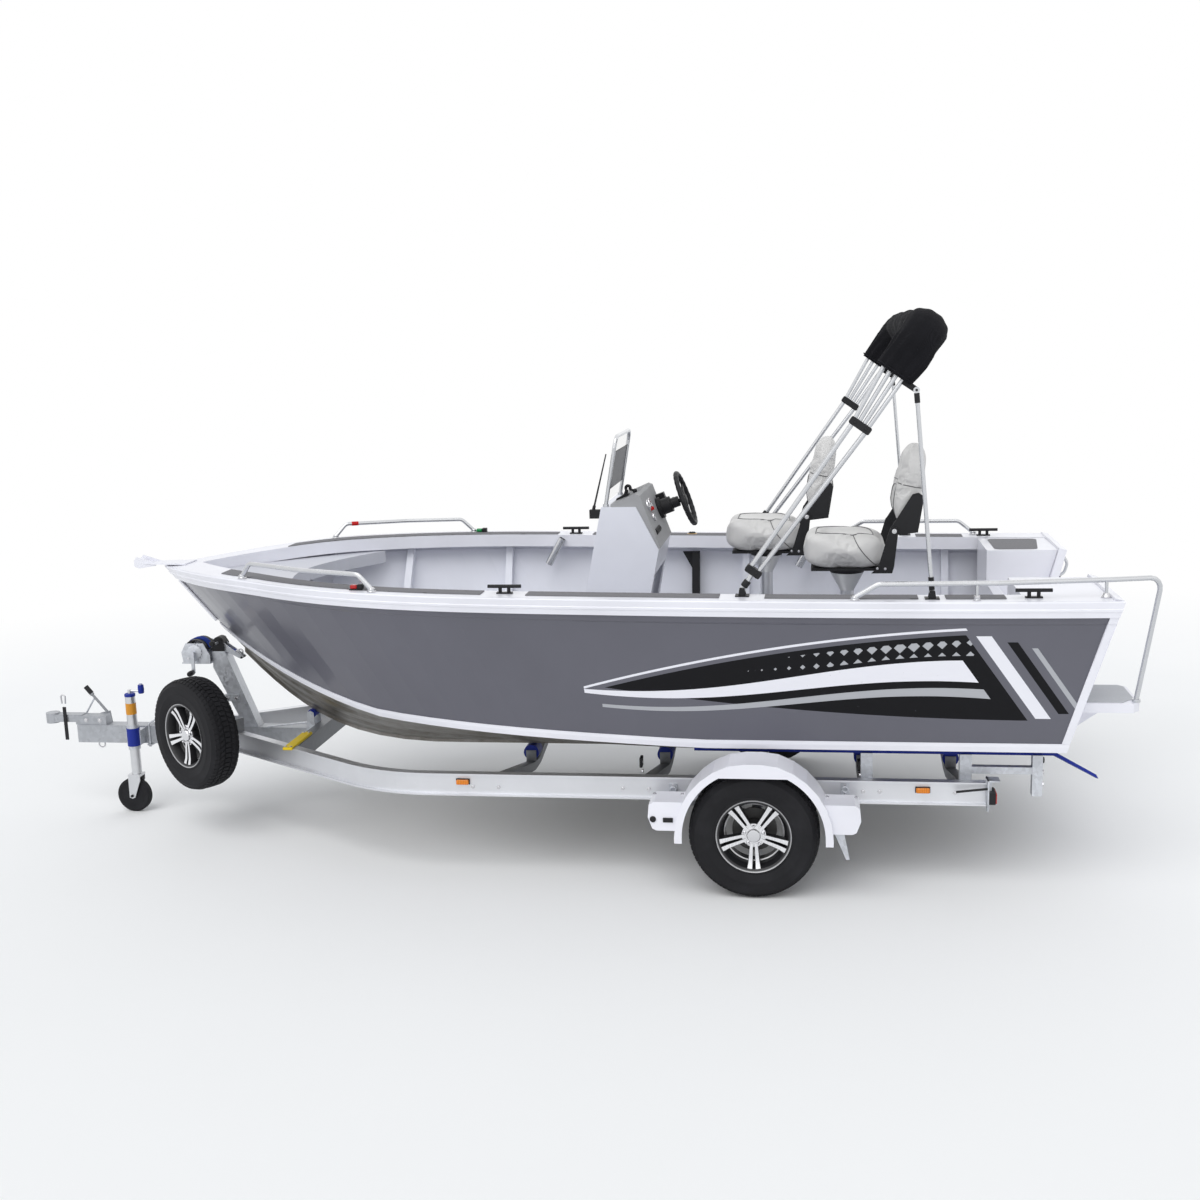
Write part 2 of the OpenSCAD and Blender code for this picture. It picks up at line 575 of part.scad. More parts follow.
// The screen's frame rises from two bosses on the console's top
screen_foot = [828, 290, console_z + gap];
screen_top = [762, 2240];
screen_r = 11;
screen_bend = 60;
module windscreen_frame() color("silver") rig() {
    f = screen_foot;
    union() {
        bent_tube([[f.x, f.y, f.z + 8], [screen_top.x, f.y, screen_top.y], [screen_top.x, -f.y, screen_top.y],
            [f.x, -f.y, f.z + 8]], screen_r, screen_bend);
        both() translate(f) cylinder(r = 16, h = 14);
    }
}
module windscreen_pane() color([0.2, 0.2, 0.25, 0.6]) rig() {
    f = screen_foot;
    d = [screen_top.x - f.x, screen_top.y - f.z - 8];
    l = norm(d) - screen_r - gap;
    w = f.y - screen_r - gap;
    c = screen_bend * 0.85;
    translate([f.x, 0, f.z + 8]) rotate([0, atan2(d.x, d.y), 0]) translate([-2.5, 0, 0]) rotate([90, 0, 90])
        linear_extrude(5) polygon([[w, 22], [w, l - c], [w - c, l], [c - w, l], [-w, l - c], [-w, 22]]);
}

helm_c = [435, -180, 1847];
helm_reach = 166;
module helm_frame() translate(helm_c) rotate([0, -90 + helm_lean, 0]) children();
module helm_hub() color("dimgray") rig() helm_frame() difference() {
    union() {
        translate([0, 0, gap - helm_reach]) cylinder(r = 62, h = 22);
        translate([0, 0, 10 - helm_reach]) cylinder(r = 46, h = 70);
        translate([0, 0, 70 - helm_reach]) cylinder(r = 30, h = 56);
    }
    translate([0, 0, -110]) cylinder(r = 12, h = 80);
}
module steering_wheel() color("black") rig() helm_frame() union() {
    rotate_extrude() translate([helm_r - 14, 0]) circle(r = 14);
    translate([0, 0, -32]) cylinder(r = 34, h = 34);
    translate([0, 0, -105]) cylinder(r = 12 - gap, h = 90);
    for (a = [60, 180, 300]) rotate([0, 0, a]) translate([20, -15, -14]) cube([helm_r - 30, 30, 8]);
}

// ---- seats ----
module seat_pedestals() color("gainsboro") rig() for (i = [0, 1])
    translate([seat_xs[i], seat_y * (1 - 2 * i), floor_z + gap]) union() {
        cylinder(r = 115, h = 10);
        cylinder(r = 36, h = seat_z - floor_z - 42);
        translate([0, 0, seat_z - floor_z - 141.6 - gap]) cylinder(r1 = 36, r2 = 90, h = 100);
    }
// Seat frame, in seat axes: origin on the post axis at the cushion's underside
back_pivot = [-235, 205];
back_lean = 9;
// Side brackets stand outside the back's arms
bracket_y = cushion.y / 2 + 9;
bracket_t = 8;
arm_y = cushion.y / 2 - 4.5;
pin_r = 8;
module seat_base() {
    union() {
        translate([-210, -150, -14]) cube([400, 300, 14 - gap]);
        translate([0, 0, -41]) cylinder(r = 90, h = 30);
        translate([-215, -bracket_y - bracket_t, -14]) cube([60, 2 * (bracket_y + bracket_t), 14 - gap]);
        for (s = [0, 1]) mirror([0, s, 0]) {
            slab(bracket_y, bracket_y + bracket_t) polygon([[-120, -14], [-155, 20], [back_pivot.x + 24, 212],
                [back_pivot.x + 8, 228], [back_pivot.x - 14, 224], [back_pivot.x - 20, 200], [-235, 20], [-225, -14]]);
            translate([back_pivot.x, bracket_y + 1, back_pivot.y]) rotate([90, 0, 0])
                cylinder(r = pin_r, h = bracket_y + 1 - arm_y + 3);
        }
    }
}
module seat_cushion() {
    l = cushion.x;
    w = cushion.y;
    h = cushion.z;
    translate([-225 + 5, 0, gap]) hull() {
        translate([35, 0, 30 * ball_flat]) across(w - 30, 30);
        translate([l - 60, 0, h / 2 * ball_flat]) across(w - 20, h / 2);
        translate([50, 0, h - 40]) across(w - 60, 38);
    }
}
// A bar with round ends, lying across the seat
ball_flat = cos(180 / 16);
module across(l, r) for (s = [-1, 1]) translate([0, s * (l / 2 - r), 0]) sphere(r = r, $fn = 16);
module in_back() translate([back_pivot.x, 0, back_pivot.y]) rotate([0, -back_lean, 0]) children();
// The cushion stands on its plate, its front face little ahead of the pivot
plate_x = -112;
module seat_back() in_back() hull() {
    f = plate_x + gap;
    w = cushion.y - 30;
    translate([f + 48 * ball_flat, 0, 20]) across(w - 24, 48);
    translate([f + back_t / 2 * ball_flat, 0, 190]) across(w, back_t / 2);
    translate([f + 46 * ball_flat, 0, back_h - 46]) across(w - 60, 46);
}
// Two arms and the plate behind the cushion
module seat_arms() in_back() difference() {
    union() {
        for (s = [0, 1]) mirror([0, s, 0]) slab(arm_y, arm_y + 8)
            polygon([[-20, -18], [16, -18], [22, 8], [-60, 200], [-90, 212], [plate_x, 200], [plate_x - 8, 10]]);
        translate([plate_x - 8, -arm_y - 8, 30]) cube([8, 2 * arm_y + 16, 160]);
    }
    rotate([90, 0, 0]) cylinder(r = pin_r + gap, h = cushion.y + 60, center = true);
}
module seat_at(i) rig() translate([seat_xs[i], seat_y * (1 - 2 * i), seat_z]) children();
module seat_base_port() color("black") seat_at(0) seat_base();
module seat_cushion_port() color("beige") seat_at(0) seat_cushion();
module seat_back_port() color("beige") seat_at(0) seat_back();
module seat_arms_port() color("black") seat_at(0) seat_arms();
module seat_base_starboard() color("black") seat_at(1) seat_base();
module seat_cushion_starboard() color("beige") seat_at(1) seat_cushion();
module seat_back_starboard() color("beige") seat_at(1) seat_back();
module seat_arms_starboard() color("black") seat_at(1) seat_arms();

// ---- canopy frame, leaning aft about its feet ----
bimini_z = gunwale_z(bimini_x) + 30;
boot_start = 1275;
foot_pin = 6;
strut_pin = [-118, 1250];
module bimini_axes() rig() translate([bimini_x, 0, bimini_z]) rotate([0, -bimini_lean, 0]) children();
module bimini_frame() color("silver") bimini_axes() both() difference() {
    y = bimini_half;
    union() {
        rod([0, y, 0], [0, y, boot_start - gap], bow_r);
        rod([-46, y, 95], [-46, y, boot_start - gap], bow_r);
        for (z = [90, 850]) translate([-66, y - 20, z]) cube([90, 40, 34]);
        translate([0, y, 0]) rotate([90, 0, 0]) cylinder(r = 17, h = 30, center = true);
        slab(y - 6, y + 13.7) polygon([[-46, strut_pin.y - 16], [strut_pin.x, strut_pin.y - 14],
            [strut_pin.x - 14, strut_pin.y], [strut_pin.x, strut_pin.y + 14], [-46, strut_pin.y + 16]]);
        translate([strut_pin.x, y + 43, strut_pin.y]) rotate([90, 0, 0]) cylinder(r = foot_pin, h = 32);
    }
    translate([0, y, 0]) rotate([90, 0, 0]) cylinder(r = foot_pin + gap, h = 40, center = true);
}
module bimini_boot() color("black") bimini_axes() {
    y = bimini_half;
    r = boot_r;
    path = concat([[y, boot_start], [y, bimini_h - 160]],
        [for (a = [15:15:90]) [y - 160 + 160 * cos(a), bimini_h - 160 + 160 * sin(a)]], [[0, bimini_h + 4]]);
    full = concat(path, [for (i = [len(path) - 2:-1:0]) [-path[i].x, path[i].y]]);
    n = len(full);
    skin([for (i = [0:n - 1]) let (a = full[max(0, i - 1)], b = full[min(n - 1, i + 1)], d = unit(b - a),
        q = [-d.y, d.x], e = (i == 0 || i == n - 1) ? 0.8 : 1)
        [for (k = [0:15]) let (t = k * 22.5) [-23 + r * e * cos(t), full[i].x + q.x * r * 0.8 * e * sin(t),
            full[i].y + q.y * r * 0.8 * e * sin(t)]]]);
}
// The struts drop from an eye under the boot to clips on the after deck
function bimini_pt(x, z) = [bimini_x + x * cos(bimini_lean) - z * sin(bimini_lean),
    bimini_z + x * sin(bimini_lean) + z * cos(bimini_lean)];
strut_y = bimini_half + 30;
strut_r = 10;
strut_foot = [-855, strut_y, gunwale_z(-855) + 30];
module bimini_struts() color("silver") rig() both() difference() {
    p = bimini_pt(strut_pin.x, strut_pin.y);
    top = [p[0], strut_y, p[1]];
    union() {
        rod(strut_foot, top, strut_r);
        translate(top) rotate([90, 0, 0]) cylinder(r = 15, h = 21, center = true);
        translate(strut_foot) rotate([90, 0, 0]) cylinder(r = 15, h = 21, center = true);
    }
    translate(top) rotate([90, 0, 0]) cylinder(r = foot_pin + gap, h = 40, center = true);
    translate(strut_foot) rotate([90, 0, 0]) cylinder(r = foot_pin + gap, h = 40, center = true);
}
// Deck fittings: a fork and pin under each foot, and a clip for each strut
module deck_fork(c, w) {
    base = gunwale_z(c.x) + seat_gap;
    translate([c.x - 34, c.y - w / 2 - 12, base]) cube([68, w + 24, 5]);
    for (s = [-1, 1]) translate([0, c.y + s * (w / 2 + 3) - 3, 0]) slab(0, 6) polygon([[c.x - 18, base + 4],
        [c.x + 18, base + 4], [c.x + 12, c.z + 12], [c.x - 12, c.z + 12]]);
}
module canopy_mounts() color("dimgray") rig() both() union() {
    foot = [bimini_x, bimini_half, bimini_z];
    deck_fork(foot, 42);
    deck_fork(strut_foot, 33);
    translate(foot) rotate([90, 0, 0]) cylinder(r = foot_pin, h = 48, center = true);
}

// ---- trailer ----
// Half width of the drawbar, which the rails' fore ends meet
bar_half = 45;
// Plan of one side rail: straight, then one arc, then straight in to the drawbar
bend_r = 900;
function rail_plan(o) = let (s = rail_fore - (rail_y - 70) / tan(rail_angle), cut = bend_r * tan(rail_angle / 2),
    c = [s - cut, rail_y - bend_r], end = [rail_fore, 70] + 60 * [cos(rail_angle), -sin(rail_angle)])
    concat([[rail_aft, rail_y + o]],
    [for (i = [0:8]) let (a = rail_angle * i / 8) c + (bend_r + o) * [sin(a), cos(a)]],
    [end + o * [sin(rail_angle), cos(rail_angle)]]);
module rail_strip(half, z0, z1) translate([0, 0, z0]) linear_extrude(z1 - z0)
    difference() {
        polygon(concat(rail_plan(half), flipped(rail_plan(-half))));
        translate([2400, -bar_half - gap]) square([1200, 2 * (bar_half + gap)]);
    }
module side_rails() color("silver") rig() both() union() {
    w = beam.y / 2;
    t = beam.z;
    rail_strip(w, rail_z, rail_z + t);
    rail_strip(t / 2, rail_z + t, rail_z + beam.x - t);
    rail_strip(w, rail_z + beam.x - t, rail_z + beam.x);
}

cross_xs = [-1050, -560, 560, 1350];
cross_w = 60;
roller_r = 45;
roller_half = 55;
roller_pin = 10;
roller_z = keel_z - keel_bar.y - gap - roller_r;
skid_slope = atan((chine_z - keel_z) / (chine_half - plate_t - gap));
skid = [1800, 70, 22];
skid_at = [-1480, rail_y - 160];
// The skids' tails reach past the transom, this far aft and down
skid_tail = [200, 112];
// Inner and outer side of the posts that carry the skids
skid_post = [rail_y - 150, rail_y - 100];
tail_post_x = -1425;
skid_drop = 0.5;
function skid_under(y) = keel_z + y * tan(skid_slope) - (skid.z + skid_drop) / cos(skid_slope) - gap;
// A shallow vee in profile, with posts under the skids and cheeks beside the keel roller
module crossmembers() color("lightgray") rig() {
    w = rail_y - beam.z / 2 - gap;
    top = rail_z + beam.x - beam.z - gap;
    for (x = cross_xs) translate([x - cross_w / 2, 0, 0]) union() {
        rotate([90, 0, 90]) linear_extrude(cross_w) union() {
            polygon([[-w, top - 2], [-w, 475], [-w + 90, rail_z + beam.z + gap], [-80, 290], [80, 290],
                [w - 90, rail_z + beam.z + gap], [w, 475], [w, top - 2], [w - 60, 520], [70, 335], [-70, 335],
                [-w + 60, 520]]);
            for (s = [-1, 1]) {
                if (x > skid_at.x && x < skid_at.x + skid.x) polygon([[s * skid_post[0], 480], [s * skid_post[1], 490],
                    [s * skid_post[1], skid_under(skid_post[1])], [s * skid_post[0], skid_under(skid_post[0])]]);
                polygon([[s * (roller_half + gap), 330], [s * (roller_half + 6), 330],
                    [s * (roller_half + 6), roller_z + 14], [s * (roller_half + gap), roller_z + 14]]);
            }
        }
        translate([cross_w / 2, 0, roller_z]) rotate([90, 0, 0])
            cylinder(r = roller_pin - gap, h = 2 * roller_half + 8, center = true);
        if (x == cross_xs[0]) both() tail_arm();
    }
    fore = [2610, 2670];
    inner = function(x) rail_y - (x - (rail_fore - (rail_y - 70) / tan(rail_angle))) * tan(rail_angle)
        - (beam.z / 2 + gap) / cos(rail_angle);
    translate([0, 0, rail_z + beam.z + gap]) linear_extrude(top - rail_z - beam.z - gap) polygon([
        [fore[0], -inner(fore[0])], [fore[1], -inner(fore[1])], [fore[1], inner(fore[1])], [fore[0], inner(fore[0])]]);
}

// An arm aft of the last crossmember, with the post under each skid's end
module tail_arm() translate([cross_w / 2 - cross_xs[0], 0, 0]) {
    translate([tail_post_x, skid_post[0] + 5, 552]) cube([cross_xs[0] - tail_post_x, 40, 36]);
    translate([tail_post_x, 0, 0]) rotate([90, 0, 90]) linear_extrude(50) polygon([[skid_post[0], 440],
        [skid_post[1], 440], [skid_post[1], skid_under(skid_post[1])], [skid_post[0], skid_under(skid_post[0])]]);
}

drawbar_z = 412;
bar_aft = 2670 + gap;
module drawbar() color("darkgray") rig() {
    h = 110;
    difference() {
        block([bar_aft, -bar_half, drawbar_z - 6], [4210, bar_half, drawbar_z - 6 + h]);
        block([bar_aft - 1, 6 - bar_half, drawbar_z], [4220, bar_half - 6, drawbar_z - 12 + h]);
    }
}

coupler_z = drawbar_z + 104 + gap;
module coupler() color("silver") rig() difference() {
    union() {
        block([4020, -38, coupler_z], [4220, 38, coupler_z + 55]);
        translate([coupler_x - 42, 0, coupler_z + 5]) cylinder(r = 42, h = 62);
        block([4180, -32, coupler_z + 14], [coupler_x - 42, 32, coupler_z + 60]);
    }
    translate([coupler_x - 42, 0, coupler_z + 4]) cylinder(r = ball_r, h = 40);
}
module handbrake() color("dimgray") rig() {
    z = coupler_z;
    union() {
        slab(-48.6, -38 - gap) polygon([[4020, z], [4100, z], [4096, z + 55], [4030, z + 70]]);
        rod([4050, -50, z + 58], [4170, -50, z + 205], 8);
        rod([4140, -50, z + 168], [4178, -50, z + 214], 13);
    }
}

leg_r = 30;
clamp_z = [395, 545];
module jockey_clamp() color("silver") rig() difference() {
    union() {
        translate([jockey_x, jockey_y, clamp_z[0]]) cylinder(r = leg_r + 6, h = clamp_z[1] - clamp_z[0]);
        block([jockey_x - 45, bar_half + gap, 420], [jockey_x + 45, jockey_y, 510]);
    }
    translate([jockey_x, jockey_y, clamp_z[0] - 5]) cylinder(r = leg_r + 0.5, h = clamp_z[1] - clamp_z[0] + 10);
}
// The leg slides in its clamp; the fork's spigot turns in the leg
fork_top = 240;
spigot_r = 12;
spigot_h = 11;
trail = 25;
jockey_half = 24;
module jockey_leg() color("gainsboro") rig() translate([jockey_x, jockey_y, 0]) difference() {
    union() {
        translate([0, 0, fork_top + gap]) cylinder(r = leg_r, h = 735 - fork_top);
        translate([0, 0, 730]) cylinder(r = 12, h = 35);
        rod([0, 0, 757], [-75, 0, 757], 7);
        rod([-75, 0, 745], [-75, 0, 800], 14);
    }
    translate([0, 0, fork_top - 1]) cylinder(r = spigot_r + gap, h = spigot_h + 3);
}
module jockey_fork() color("gainsboro") rig() translate([jockey_x, jockey_y, 0]) difference() {
    y = jockey_half + 6;
    union() {
        translate([-32, -y - 8, fork_top - 16]) cube([74, 2 * y + 16, 16]);
        translate([0, 0, fork_top - 10]) cylinder(r = spigot_r, h = 10 + spigot_h);
        for (s = [-1, 1]) translate([0, s * (y + 4) - 4, 0]) slab(0, 8) polygon([[-32, fork_top - 8],
            [-32, fork_top - 40], [trail - 18, jockey_r - 10], [trail, jockey_r - 18], [trail + 18, jockey_r - 10],
            [42, fork_top - 40], [42, fork_top - 8]]);
    }
    translate([trail, 0, jockey_r]) rotate([90, 0, 0]) cylinder(r = 8 + gap, h = 100, center = true);
}
module jockey_wheel() color("black") rig() translate([jockey_x + trail, jockey_y, jockey_r]) rotate([90, 0, 0])
    union() {
        rotate_extrude() polygon([[20, -jockey_half], [70, -20], [92, -22], [jockey_r, -14], [jockey_r, 14],
            [92, 22], [70, 20], [20, jockey_half], [5, jockey_half], [5, -jockey_half]]);
        cylinder(r = 8, h = 2 * jockey_half + 44, center = true);
    }

// The post leans forward from the drawbar to the winch
post_foot = [3030, 520];
post_head = [3245, 985];
module winch_post() color("darkgray") rig() {
    slab(-40, 40) polygon([[post_foot.x, drawbar_z + 104 + gap], [post_foot.x + 90, drawbar_z + 104 + gap],
        [post_head.x + 45, post_head.y - 100], [post_head.x + 45, post_head.y], [post_head.x - 35, post_head.y]]);
}
winch_c = [3385, 985];
winch_x = post_head.x + 45 + gap;
module winch() color("silver") rig() union() {
    block([winch_x, -75, winch_c.y - 70], [winch_c.x + 85, 75, winch_c.y - 62]);
    for (s = [-1, 1]) translate([0, s * 72 - 3, 0]) slab(0, 6) polygon([[winch_x, 915], [3460, 915],
        [3470, 985], [3440, 1040], [3330, 1040], [winch_x, 970]]);
    translate([winch_c.x, 0, winch_c.y]) rotate([90, 0, 0]) cylinder(r = 32, h = 140, center = true);
    rod([winch_c.x, 60, winch_c.y], [winch_c.x, 110, winch_c.y], 10);
    block([winch_c.x - 10, 104, winch_c.y - 120], [winch_c.x + 10, 112, winch_c.y + 10]);
    rod([winch_c.x, 108, winch_c.y - 112], [winch_c.x, 175, winch_c.y - 112], 11);
}
// A roller between cheeks on the post's head takes the stem
rest_c = [3250, 1038];
rest_r = 32;
module bow_rest() color("dimgray") rig() {
    for (s = [-1, 1]) translate([0, s * 37 - 3, 0]) slab(0, 6) polygon([[3212, 985 + gap], [3288, 985 + gap],
        [3288, 1050], [3255, 1070], [3232, 1064], [3212, 1030]]);
    translate([rest_c.x, 0, rest_c.y]) rotate([90, 0, 0]) cylinder(r = rest_r, h = 68 - 2 * gap, center = true);
}

// ---- wheels ----
function tyre_profile() = let (r = tyre_r, w = tyre_w / 2, i = rim_r - 14)
    [[i, -w + 20], [rim_r + 6, -w + 9], [(rim_r + r) / 2 - 8, -w], [r - 42, -w + 3], [r - 16, -w + 13],
     [r - 5, -w + 28], [r, -w + 48], [r, w - 48], [r - 5, w - 28], [r - 16, w - 13], [r - 42, w - 3],
     [(rim_r + r) / 2 - 8, w], [rim_r + 6, w - 9], [i, w - 20]];
module tyre() rotate([90, 0, 0]) rotate_extrude($fn = 72) polygon(tyre_profile());
hub_bore = 20;
// The face looks along -Y here, before it is turned to its own side
module rim() rotate([90, 0, 0]) {
    w = tyre_w / 2;
    i = rim_r - 14 - gap;
    difference() {
        union() {
            rotate_extrude($fn = 72) polygon([[i - 8, -w + 24], [i, -w + 24], [i, w - 19.8], [i + 13, w - 12.6],
                [i + 9, w - 6], [i - 12, w - 12], [i - 8, 0]]);
            for (k = [0:spokes - 1]) rotate([0, 0, k * 360 / spokes + 90]) for (s = [-1, 1])
                translate([0, 0, 30]) linear_extrude(26) polygon([[30, s * 6], [i - 6, s * 10], [i - 6, s * 34],
                    [52, s * 22]]);
            translate([0, 0, -30]) cylinder(r = 62, h = 84);
            translate([0, 0, 54]) cylinder(r = 32, h = 22);
            translate([0, 0, -44]) cylinder(r = 125, h = 14);
            translate([0, 0, -44]) cylinder(r = 60, h = 20);
        }
        translate([0, 0, -50]) cylinder(r = hub_bore + gap, h = 80);
    }
}
module wheel_at(side) rig() translate([0, side * track_half, tyre_r]) rotate([0, 0, side > 0 ? 180 : 0]) children();
module tyre_port() color("black") wheel_at(1) tyre();
module rim_port() color("silver") wheel_at(1) rim();
module tyre_starboard() color("black") wheel_at(-1) tyre();
module rim_starboard() color("silver") wheel_at(-1) rim();

spare_c = [3235, 455, 597];
module spare_at() rig() translate(spare_c) rotate([0, 0, 180 - rail_angle]) children();
module spare_tyre() color("black") spare_at() tyre();
module spare_rim() color("silver") spare_at() rim();
// The spare hangs on a stub, its arm and a post on the rail
module spare_carrier() color("darkgray") spare_at() {
    back = 44 + gap;
    foot = rail_z + beam.x + gap - spare_c.z;
    union() {
        translate([0, 20, 0]) rotate([-90, 0, 0]) cylinder(r = hub_bore, h = back - 19);
        block([-40, back, -30], [40, 297, 30]);
        block([-40, 246, foot], [40, 296, 30]);
    }
}

module keel_rollers() color("navy") rig()
    for (x = cross_xs) translate([x, 0, roller_z]) rotate([90, 0, 0]) difference() {
        cylinder(r = roller_r, h = 2 * roller_half, center = true);
        cylinder(r = roller_pin, h = 3 * roller_half, center = true);
    }
module skids() color("royalblue") rig() both() translate([0, 0, keel_z]) rotate([skid_slope, 0, 0])
    slab(skid_at.y, skid_at.y + skid.y) polygon([[skid_at.x + skid.x, -skid.z - skid_drop],
        [skid_at.x + skid.x, -skid_drop], [skid_at.x, -skid_drop], [skid_at.x - skid_tail.x, -skid_drop - skid_tail.y],
        [skid_at.x - skid_tail.x - 10, -skid_drop - skid_tail.y - 20], [skid_at.x - 4, -skid.z - skid_drop]]);
// Leaf springs seated between the beam and the rails
spring_z = rail_z - gap;
module axle() color("dimgray") rig() {
    h = 25;
    spring_low = tyre_r + h + gap;
    block([-h, -track_half + 120, tyre_r - h], [h, track_half - 120, tyre_r + h]);
    both() {
        rod([0, track_half - 121, tyre_r], [0, track_half - 26, tyre_r], hub_bore);
        slab(rail_y - 25, rail_y + 25) polygon([[-340, spring_z], [-340, 400], [-30, spring_low], [30, spring_low], [340, 400],
            [340, spring_z], [300, spring_z], [30, spring_low + 14], [-30, spring_low + 14], [-300, spring_z]]);
    }
}
// An arch over the tyre with a flat crown, its cheek cut away low round the tyre
guard_r = 390;
guard_t = 4;
guard_crown = 382;
guard_low = 295;
function guard_arc(r) = concat([[r, guard_low]], [for (a = [0:12:180]) [r * cos(a), tyre_r + min(r * sin(a),
    guard_crown - guard_r + r)]], [[-r, guard_low]]);
// The step on each end of a mudguard
step_box = [[330, 500], [492, 500], [516, 484], [522, 420], [500, 362], [480, 352], [330, 352]];
module mudguards() color("white") rig() both() {
    y0 = track_half - 95;
    y1 = track_half + 125;
    union() {
        slab(y0, y1) polygon(concat(guard_arc(guard_r), flipped(guard_arc(guard_r - guard_t))));
        slab(y1 - guard_t, y1) difference() {
            polygon(guard_arc(guard_r));
            intersection() {
                translate([0, tyre_r]) circle(r = 352);
                translate([-400, 0]) square([800, tyre_r + 310]);
            }
            translate([-352, 200]) square([704, 125]);
        }
        for (s = [0, 1]) mirror([s, 0, 0]) {
            slab(y0 + 25, y1 - 25) difference() {
                polygon(step_box);
                translate([0, tyre_r]) circle(r = guard_r - guard_t / 2);
            }
            // Bracket out from the rail
            translate([440, rail_y + beam.y / 2 + gap, 432]) cube([38, y0 + 30 - rail_y - beam.y / 2 - gap, 16]);
        }
    }
}

hull_sides();
hull_bottom();
transom();
hull_trim();
gunwale_band();
side_decks();
deck_pads();
foredeck();
bowsprit();
cockpit_floor();
side_ribs();
stern_deck();
bow_rails();
stern_rails();
swim_steps();
cleats();
rod_holders();
console();
dash();
windscreen_frame();
windscreen_pane();
helm_hub();
steering_wheel();
seat_pedestals();
seat_base_port();
seat_cushion_port();
seat_arms_port();
seat_back_port();
seat_base_starboard();
seat_cushion_starboard();
seat_arms_starboard();
seat_back_starboard();
bimini_frame();
bimini_boot();
bimini_struts();
canopy_mounts();
side_rails();
crossmembers();
drawbar();
coupler();
handbrake();
jockey_clamp();
jockey_leg();
jockey_fork();
jockey_wheel();
winch_post();
winch();
bow_rest();
spare_carrier();
spare_tyre();
spare_rim();
keel_rollers();
skids();
axle();
mudguards();
tyre_port();
rim_port();
tyre_starboard();
rim_starboard();
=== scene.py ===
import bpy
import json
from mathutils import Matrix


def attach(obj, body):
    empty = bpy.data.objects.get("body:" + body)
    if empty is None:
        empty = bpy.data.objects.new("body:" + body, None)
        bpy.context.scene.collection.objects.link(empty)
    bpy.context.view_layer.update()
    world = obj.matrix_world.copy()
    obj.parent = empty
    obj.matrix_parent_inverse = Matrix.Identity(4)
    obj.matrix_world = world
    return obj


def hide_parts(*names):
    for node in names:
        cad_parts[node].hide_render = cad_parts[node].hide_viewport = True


bl_info = {
    "name": "Center Console Boat on Trailer",
    "version": (1, 0, 0),
    "blender": (4, 5, 0),
    "location": "View3D > Sidebar > Boat",
    "description": "Dresses the packed boat and its trailer with finishes and fine pieces",
    "category": "Object",
}

import json
import math
import random

import bmesh
import bpy
import numpy as np
from bpy.props import FloatProperty, FloatVectorProperty, IntProperty, PointerProperty
from mathutils import Matrix, Vector
from mathutils.bvhtree import BVHTree

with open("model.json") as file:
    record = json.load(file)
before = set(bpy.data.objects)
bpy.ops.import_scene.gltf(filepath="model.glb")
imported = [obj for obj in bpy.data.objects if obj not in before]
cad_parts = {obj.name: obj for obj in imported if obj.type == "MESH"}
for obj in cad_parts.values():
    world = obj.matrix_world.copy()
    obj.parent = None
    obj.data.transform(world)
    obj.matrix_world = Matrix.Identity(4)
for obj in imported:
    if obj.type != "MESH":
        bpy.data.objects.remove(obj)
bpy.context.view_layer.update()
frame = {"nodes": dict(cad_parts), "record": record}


# ---- shader maths ----

class Wire:
    """A value on a material's socket. Sums and products of wires add Math nodes."""

    def __init__(self, finish, socket):
        self.finish, self.socket = finish, socket

    def math(self, operation, *others):
        return self.finish.math(operation, self, *others)

    def __add__(self, other): return self.math("ADD", other)
    def __radd__(self, other): return self.finish.math("ADD", other, self)
    def __sub__(self, other): return self.math("SUBTRACT", other)
    def __rsub__(self, other): return self.finish.math("SUBTRACT", other, self)
    def __mul__(self, other): return self.math("MULTIPLY", other)
    def __rmul__(self, other): return self.finish.math("MULTIPLY", other, self)
    def __truediv__(self, other): return self.math("DIVIDE", other)
    def __neg__(self): return self.math("MULTIPLY", -1.0)
    def __abs__(self): return self.math("ABSOLUTE")
    def __mod__(self, other): return self.math("FLOORED_MODULO", other)
    def __gt__(self, other): return self.math("GREATER_THAN", other)
    def __lt__(self, other): return self.math("LESS_THAN", other)

    def low(self, other): return self.math("MINIMUM", other)
    def high(self, other): return self.math("MAXIMUM", other)

    def between(self, a, b):
        """1 where the value lies from a to b, else 0."""
        return (self > a) * (self < b)

    def ramp(self, a, b):
        """Runs from 0 at a to 1 at b, and is held outside."""
        span = {0: self, 1: a, 2: b, 3: 0.0, 4: 1.0}
        return self.finish.wire(self.finish.node("ShaderNodeMapRange", {"clamp": True}, span))


